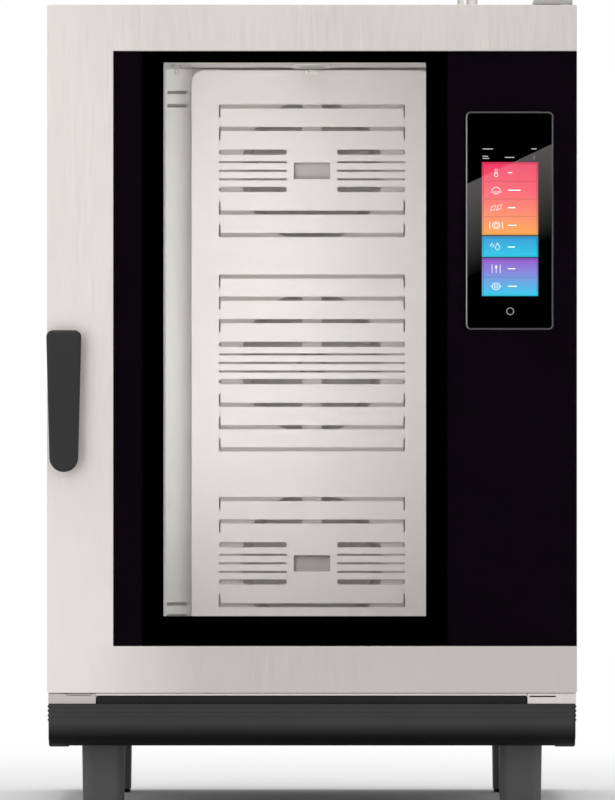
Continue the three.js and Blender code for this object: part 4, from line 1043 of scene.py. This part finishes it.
def intake():
    x, y, z = spans("intake_plate")
    half = 0.137
    sheet = (INTAKE_FRONT, INTAKE_FRONT + SHEET)
    bm = bmesh.new()
    holes = [inlet_outline(at, level != "middle") for level, at in FANS.items()]
    panel(bm, "front", (-half, half), z, 0.003, sheet, 0.0005, holes)
    for side in (-0.124, 0.124):
        for at in (0.212, 0.493, 0.787, 1.062):
            lathe(bm, "y", (side, at), [(0.006, INTAKE_FRONT + 0.001), (0.006, y[1])], 24)
            screw(bm, "y", (side, at), INTAKE_FRONT, 0.004, -1)
    # The two arms that carry the cover's hinge pins.
    pin = (x[0] + 0.006, y[0] + 0.006)
    arm_x, arm_y = (x[0], 0.004 - half), (y[0], sheet[1])
    for low, high, out in ((z[1] - SHEET, z[1], -1), (z[0], z[0] + SHEET, 1)):
        panel(bm, "top", arm_x, arm_y, 0.002, (low, high), 0.0004)
        start, end = sorted((middle((low, high)), middle((low, high)) + out * 0.009))
        rounds = [(0.0026, start), (0.003, start + 0.0005), (0.003, end - 0.0005), (0.0026, end)]
        lathe(bm, "z", pin, rounds, 24)
    make("intake_sheet", bm, "oven", "intake_steel", "intake_plate")
    # A hub cover on the upper and lower inlets, with its folded top edge.
    bm = bmesh.new()
    front = INTAKE_FRONT - 0.0012
    for at in (FANS["upper"], FANS["lower"]):
        sides, fold = (at - 0.0155, at + 0.0125), (at + 0.0095, at + 0.0122)
        panel(bm, "front", around(0, 0.033), sides, 0.001, (front, front + 0.001), 0.0002)
        panel(bm, "front", around(0, 0.030), fold, 0.001, (front - 0.003, front), 0.0002)
    # The hub covers take the darker steel: painted shade.
    add("hub_covers", bm, "oven", "shaded_hub_steel")


def wheel(level, z):
    """A radial wheel: a disc with curved blades on its front, a hub on its shaft and a hexagon nut."""
    x, y, _ = spans(f"fan_wheel_{level}")
    front, back = y[0], y[0] + 0.038
    outer = (x[1] - x[0]) / 2
    bm = bmesh.new()
    rim = [(outer - 0.003, -0.0024), (outer - 0.002, -0.0012), (outer - 0.003, 0.0)]
    lathe(bm, "y", (0, z), [(0.016, -0.0024)] + rim + [(0.016, 0.0)], 72, back)
    count, steps = 14, 8
    for i in range(count):
        line = []
        for k in range(steps + 1):
            t = k / steps
            radius = 0.056 + (outer - 0.0575) * t
            angle = math.radians(360 * i / count) + math.radians(26) * t**1.3
            line.append(Vector((radius * math.cos(angle), radius * math.sin(angle))))
        normals = [(b - a).orthogonal().normalized() * 0.0008 for a, b in zip(line, line[1:])]
        normals.append(normals[-1])
        blade = [p + n for p, n in zip(line, normals)] + [p - n for p, n in zip(line, normals)][::-1]
        plate(bm, "front", [(p.x, z + p.y) for p in blade], [], (front, back - 0.001), 0.0003, 1)
    hub = mm((12, -16.5), (15.5, -15.5), (17, -9), (22, -2.5), (22, 1), (17, 2), (17, 4), (7, 4.2))
    lathe(bm, "y", (0, z), hub + [(0.007, y[1] - back)], 48, back)
    lathe(bm, "y", (0, z), mm((9.5, -26), (11.8, -24.5), (11.8, -16.5), (10.5, -15.5)), 48, back, corners=6)
    make(f"wheel_{level}", bm, f"fan_{level}", "wheel_steel", f"fan_wheel_{level}")


def element(level, z):
    """Two rings of bar, with an end that runs back through the wall on either side of the middle."""
    x, y, _ = spans(f"heating_element_{level}")
    tube_r = 0.0045
    radius = (x[1] - x[0]) / 2 - tube_r
    bm = bmesh.new()
    for at in (0.288, 0.302):
        tube(bm, ring("y", (0, z), radius, at, 88), tube_r, 14, closed=True)
    bush = mm((6.2, 322.5), (8.5, 322.5), (8.5, 324.5), (6.2, 324.5))
    for side in (-1, 1):
        line = [(0.120, 0.288, 0.044), (0.119, 0.304, 0.043), (0.112, 0.318, 0.040), (0.112, y[1], 0.040)]
        tube(bm, curved([(u, v, z + side * w) for u, v, w in line], 8), tube_r, 14)
        lathe(bm, "y", (0.112, z + side * 0.040), bush, 24, closed=True)
    make(f"element_{level}", bm, "oven", "oxide_metal", f"heating_element_{level}")


def motor(level, z):
    x, y, _ = spans(f"fan_motor_{level}")
    front, back = y
    flange, body = (x[1] - x[0]) / 2, 0.052
    root = body - 0.003
    profile = [(0.008, front), (flange - 0.001, front), (flange, front + 0.001), (flange, front + 0.004)]
    profile += [(flange - 0.001, front + 0.005), (root, front + 0.006)]
    for rib in range(9):
        at = front + 0.010 + rib * 0.0064
        profile += [(root, at), (body, at + 0.0006), (body, at + 0.0026), (root, at + 0.0032)]
    profile += [(root, back - 0.006), (body - 0.008, back - 0.001), (body - 0.012, back), (0.001, back)]
    profile += [(0.001, back - 0.010), (0.008, back - 0.011)]
    bm = bmesh.new()
    lathe(bm, "y", (0, z), profile, 56, closed=True)
    screws(bm, "y", arc((0, z), 0.056, 45, 315, 3), front + 0.005, 0.0045)
    make(f"motor_{level}", bm, "oven", "cast_metal", f"fan_motor_{level}")


def steam():
    x, y, z = spans("steam_pipe")
    at_x, at_y, radius = x[1] - 0.005, 0.300, 0.005
    bm = bmesh.new()
    ends = [(0.003, z[0]), (radius, z[0] + 0.002), (radius, z[1] - 0.002), (0.003, z[1])]
    lathe(bm, "z", (at_x, at_y), ends, 28)
    lathe(bm, "y", (at_x, 0.490), [(radius, at_y), (radius, y[1])], 28)
    for level in FANS.values():
        lathe(bm, "x", (at_y - 0.004, level), [(0.0018, x[0]), (0.0025, x[0] + 0.0008), (0.0025, at_x)], 20)
        lathe(bm, "z", (at_x, at_y), [(0.0066, end) for end in around(level, 0.004)], 28)
    make("water_feed_pipe", bm, "oven", "turned_steel", "steam_pipe")


# ---------------------------------------------------------------- the tray, legs and fittings


def tray():
    """A trough with a rounded front, whose ends carry four ribs, and a tongue on each side."""
    x, y, z = spans("drip_tray")
    front, back = y[0], spans("front_lip")[1][1] - 0.0017
    low, high = z
    wall, ridge = 0.0025, 0.0016
    half = x[1] - 0.0012

    def section(by, top, grooves):
        curve = 0.032 - by
        points = [(back - by, top), (front + by, top)]
        for at in grooves:
            points += [(front, at + 0.0016), (front + 0.0007, at), (front, at - 0.0016)]
        points += arc((front + by + curve, low + by + curve), curve, 180, 270, 20)
        return points + [(back - by, low + by)]

    outer = section(0, high, (high - 0.006, high - 0.0125, high - 0.019))
    inner = section(wall, high + 0.001, ())[1:]
    shell = outer[1:] + [(back, high), (back - wall, high)] + inner[::-1] + [(front + wall, high)]
    bm = bmesh.new()
    plate(bm, "side", turned(shell, True), [], (-half + 0.001, half - 0.001), 0.0002, 1)
    for side in (-1, 1):
        plate(bm, "side", outer, [], sorted((side * (half - wall), side * half)), 0.0004)
        for at in (high - 0.003, high - 0.0092, high - 0.0158, high - 0.0222):
            tube(bm, [(side * half, v, at) for v in inset((front, back), 0.0015)], ridge, 10)
        block(bm, sorted((side * 0.350, side * 0.373)), (back - 0.001, y[1]), (low, low + 0.004), 0.0006)
    make("tray_shell", bm, "tray", "tray_plastic", "drip_tray", 30)


def octagon(centre, half, corner, z, scale):
    """A square section with cut and softened corners."""
    a, b = half * scale, (half - corner) * scale
    points = [(a, -b), (a, b), (b, a), (-b, a), (-a, b), (-a, -b), (-b, -a), (b, -a)]
    return [(centre[0] + u, centre[1] + v, z) for u, v in rounded(points, 0.005, 5)]


def legs():
    for node in [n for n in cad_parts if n.startswith("leg_")]:
        x, y, z = spans(node)
        centre, half = (middle(x), middle(y)), (x[1] - x[0]) / 2
        levels = [(z[0], 0.948), (z[0] + 0.0012, 0.960), (z[0] + 0.03, 0.973)]
        levels += [(z[1] - 0.012, 0.996), (z[1] - 0.001, 1.0), (z[1], 0.988)]
        bm = bmesh.new()
        loft(bm, [octagon(centre, half, 0.011, at, scale) for at, scale in levels])
        make(f"{node}_shell", bm, "oven", "leg_plastic", node, 30)
        foot(node.replace("leg", "foot"), centre)


def threads(start, end, low, high):
    """A screw thread's profile, from a start to just before an end."""
    made = []
    while start < end - 0.002:
        made += [(low, start), (high, start + 0.0008)]
        start += 0.0016
    return made


def foot(node, centre):
    """A rubber pad on a threaded stem."""
    base, top = spans(node)[2]
    bm = bmesh.new()
    pad = mm((26, 0), (28.5, 0.6), (29, 1.8), (28, 2.4), (29, 3), (28.5, 4.4), (27, 5), (8.5, 5))
    lathe(bm, "z", centre, pad, 56, base)
    make(f"{node}_pad", bm, node, "rubber", node)
    bm = bmesh.new()
    stem = [(0.0082, base + 0.0045)] + threads(base + 0.009, top, 0.0072, 0.008) + [(0.006, top)]
    lathe(bm, "z", centre, stem, 24)
    add(f"{node}_stem", bm, node, "zinc")


def drain_tube():
    x, y, z = spans("drain_pipe")
    u, outer, inner = middle(x), 0.020, 0.017
    down, level, end = y[0] + 0.020, z[0] + 0.020, y[1]
    line = [(0, z[1]), (0, z[1] - 0.012), (0.003, level + 0.008), (0.012, level + 0.001)]
    line += [(0.030, level), (0.040, level)]
    bm = bmesh.new()
    tube(bm, curved([(u, down + v, w) for v, w in line], 6), outer - 0.0005, 32)
    pipe = [(outer, down + 0.036), (outer, end - 0.018), (outer + 0.0009, end - 0.016)]
    pipe += [(outer + 0.0009, end - 0.003), (outer, end - 0.001), (outer - 0.001, end)]
    pipe += [(inner + 0.0005, end), (inner, end - 0.001), (inner, down + 0.036)]
    lathe(bm, "y", (u, level), pipe, closed=True)
    make("drain_tube", bm, "oven", "pipe_plastic", "drain_pipe")


def fitting(name, finish, node, stub, nut, profile, count=48):
    """A stub that runs in through the rear panel, a hexagon nut on the panel and a turned end."""
    x, y, z = spans(node)
    centre = (middle(x), middle(z))
    bm = bmesh.new()
    inner, outer = stub
    lathe(bm, "y", centre, mm((inner, 0), (outer, 0), (outer, 14.5), (inner, 14.5)), 40, y[0], closed=True)
    lathe(bm, "y", centre, nut, 48, CASE_BACK, corners=6)
    lathe(bm, "y", centre, profile, count, closed=True)
    make(name, bm, "oven", finish, node)


def fittings():
    end = spans("cable_gland")[1][1]
    dome = [(0.0125, CASE_BACK + 0.0085), (0.0125, end - 0.006), (0.0105, end - 0.0015), (0.0085, end)]
    dome += [(0.0055, end), (0.005, end - 0.001), (0.005, CASE_BACK + 0.0085)]
    nut = mm((9, 0.3), (14.2, 0.8), (14.8, 2), (14.8, 6.8), (13, 8.3), (5, 8.3))
    fitting("gland_body", "black_plastic", "cable_gland", (5, 9), nut, dome, 40)
    end = spans("water_inlet")[1][1]
    union = [(0.011, CASE_BACK + 0.006)] + threads(CASE_BACK + 0.0075, end, 0.011, 0.012)
    union += [(0.0105, end), (0.0085, end), (0.008, end - 0.0008)]
    union += [(r, CASE_BACK + v) for r, v in mm((8, 4), (1, 4), (1, 3), (9, 3))]
    nut = mm((9, 0.3), (13.4, 0.8), (13.8, 1.8), (13.8, 5.2), (12.5, 6.3), (9, 6.3))
    fitting("water_union", "brass_metal", "water_inlet", (4, 8), nut, union)


def cooling_rotor():
    """Five twisted and swept blades on a hub."""
    x, y, z = spans("cooling_fan_rotor")
    middle_y = middle(y)
    centre = (middle(x), middle(z))
    bm = bmesh.new()
    lathe(bm, "y", centre, mm((4, -12), (17, -12), (20, -9), (20, 10), (18, 12), (4, 12)), 48, middle_y)
    count, steps, thick = 5, 6, 0.0009
    for i in range(count):
        rings = []
        for k in range(steps + 1):
            t = k / steps
            radius = 0.018 + 0.0325 * t
            chord = 0.0105 + 0.0035 * t
            pitch = math.radians(44 - 12 * t)
            sweep = math.radians(360 * i / count + 14 * t)
            outward = Vector((math.cos(sweep), 0, math.sin(sweep)))
            around_hub = Vector((-math.sin(sweep), 0, math.cos(sweep)))
            section = []
            for u, v in circle((0, 0), 1.0, 12):
                along = chord * u * math.cos(pitch) - thick * v * math.sin(pitch)
                depth = chord * u * math.sin(pitch) + thick * v * math.cos(pitch)
                place = Vector((centre[0], middle_y + depth, centre[1]))
                section.append(place + radius * outward + along * around_hub)
            rings.append(section)
        loft(bm, rings)
    make("cooling_rotor", bm, "cooling_fan", "black_plastic", "cooling_fan_rotor")


# ---------------------------------------------------------------- the studio

DARK_CONE = (13, 6)  # degrees from straight ahead: where the dark patch starts, and where it's full


def studio_world():
    """White behind the object, also through its glass. Everything else sees a soft surround with a small
    dark patch straight in front of the oven, so that its flat glass stays dark."""
    world = bpy.data.worlds.new("studio")
    bpy.context.scene.world = world
    s = Shader("studio", world)
    facing = s.add("VectorMath", {0: s.place, 1: (0, -1, 0)}, operation="DOT_PRODUCT")
    ahead = facing.outputs["Value"]
    start, full = (math.cos(math.radians(angle)) for angle in DARK_CONE)
    edges = {"Value": ahead, "From Min": start, "From Max": full}
    patch = s.add("MapRange", edges, interpolation_type="SMOOTHSTEP").outputs[0]
    sky = s.add("ValToRGB", {0: s.axis("Z")})
    sky.color_ramp.elements[0].color = (0.80, 0.79, 0.78, 1)
    sky.color_ramp.elements[1].color = (1.0, 1.0, 1.0, 1)
    # Behind the oven the surround is dimmer, so that its back and sides have some shading.
    room = s.mix(s.remap(ahead, 0.15, -0.75), sky.outputs[0], (0.46, 0.46, 0.47, 1))
    surround = s.mix(patch, room, (0.002, 0.002, 0.003, 1))
    soft = s.add("Background", {0: surround, 1: 1.32}).outputs[0]
    white = s.add("Background", {0: (1, 1, 1, 1)}).outputs[0]
    ray = s.add("LightPath").outputs
    straight = s.math("LESS_THAN", s.math("ADD", ray["Diffuse Depth"], ray["Glossy Depth"]), 0.5)
    through = s.math("MULTIPLY", straight, ray["Is Transmission Ray"])
    shown = s.math("MAXIMUM", ray["Is Camera Ray"], through)
    either = s.add("MixShader", {0: shown, 1: soft, 2: white}).outputs[0]
    s.add("OutputWorld", {"Surface": either})


def studio_floor():
    """A pale floor that goes over into the white surround away from the oven."""
    s = Shader("studio_floor")
    distance = s.add("VectorMath", {0: s.place}, operation="LENGTH").outputs["Value"]
    cloud = s.noise(1.5, detail=3)
    pale = s.principled(
        Base_Color=s.mix(s.remap(cloud, 0.3, 0.7), (0.60, 0.60, 0.60, 1), (0.63, 0.63, 0.63, 1)),
        Roughness=0.9,
        Specular_IOR_Level=0.2,
    )
    white = s.add("Emission", {"Color": (1, 1, 1, 1), "Strength": 1.0}).outputs[0]
    s.end(s.add("MixShader", {0: s.remap(distance, 0.6, 2.5), 1: pale, 2: white}).outputs[0])
    bm = bmesh.new()
    loft(bm, [ring("z", (0, 0), radius, -0.0003, 96) for radius in (0.5, 1.0, 2.0, 4.0)])
    bm.faces.remove(list(bm.faces)[-1])  # the cap over the outermost ring
    mesh = bpy.data.meshes.new("studio_floor")
    bm.to_mesh(mesh)
    bm.free()
    mesh.materials.append(FINISH["studio_floor"])
    floor = show("studio_floor", mesh)


def area_light(name, place, target, size, power):
    light = bpy.data.lights.new(name, "AREA")
    settle(light, shape="RECTANGLE", size=size[0], size_y=size[1], energy=power)
    shown = show(name, light)
    shown.location = place
    shown.rotation_euler = (Vector(target) - Vector(place)).to_track_quat("-Z", "Y").to_euler()
    shown.visible_camera = False


def studio_lights():
    sun = settle(bpy.data.lights.new("top_light", "SUN"), energy=1.1, angle=math.radians(30))
    show("top_light", sun).rotation_euler = (math.radians(-8), 0, 0)
    # A tall soft panel to the left of the oven's front, out of the glass's mirror direction.
    area_light("left_panel", (-1.75, -3.4, 0.75), (-1.75, 0, 0.75), (2.1, 2.2), 14)
    # The light inside the cooking space, up to the left behind the door.
    area_light("cavity_light", (-0.095, -0.34, 0.72), (-0.04, 0.3, 0.69), (0.25, 0.78), 1.40)


def camera():
    """A long lens, square to the door, from the distance that the legs' perspective gives."""
    lens = bpy.data.cameras.new("camera")
    settle(lens, lens=511.5, sensor_width=36, sensor_fit="AUTO", shift_x=-0.0056, clip_end=200)
    shown = show("camera", lens)
    shown.location = (0, DOOR_Y[0] - 16.3, 0.588)
    shown.rotation_euler = (math.radians(90), 0, 0)
    bpy.context.scene.camera = shown


def build():
    for part in (door_body, door_glass, inner_pane, touch_screen, display, handle, casing):
        part()
    for part in (cavity, fan_cover, intake):
        part()
    for level, z in FANS.items():
        wheel(level, z)
        element(level, z)
        motor(level, z)
    for part in (steam, tray, legs, drain_tube, fittings, cooling_rotor):
        part()
    for part in (studio_world, studio_floor, studio_lights, camera):
        part()
    bpy.context.scene.view_settings.view_transform = "Standard"


build()
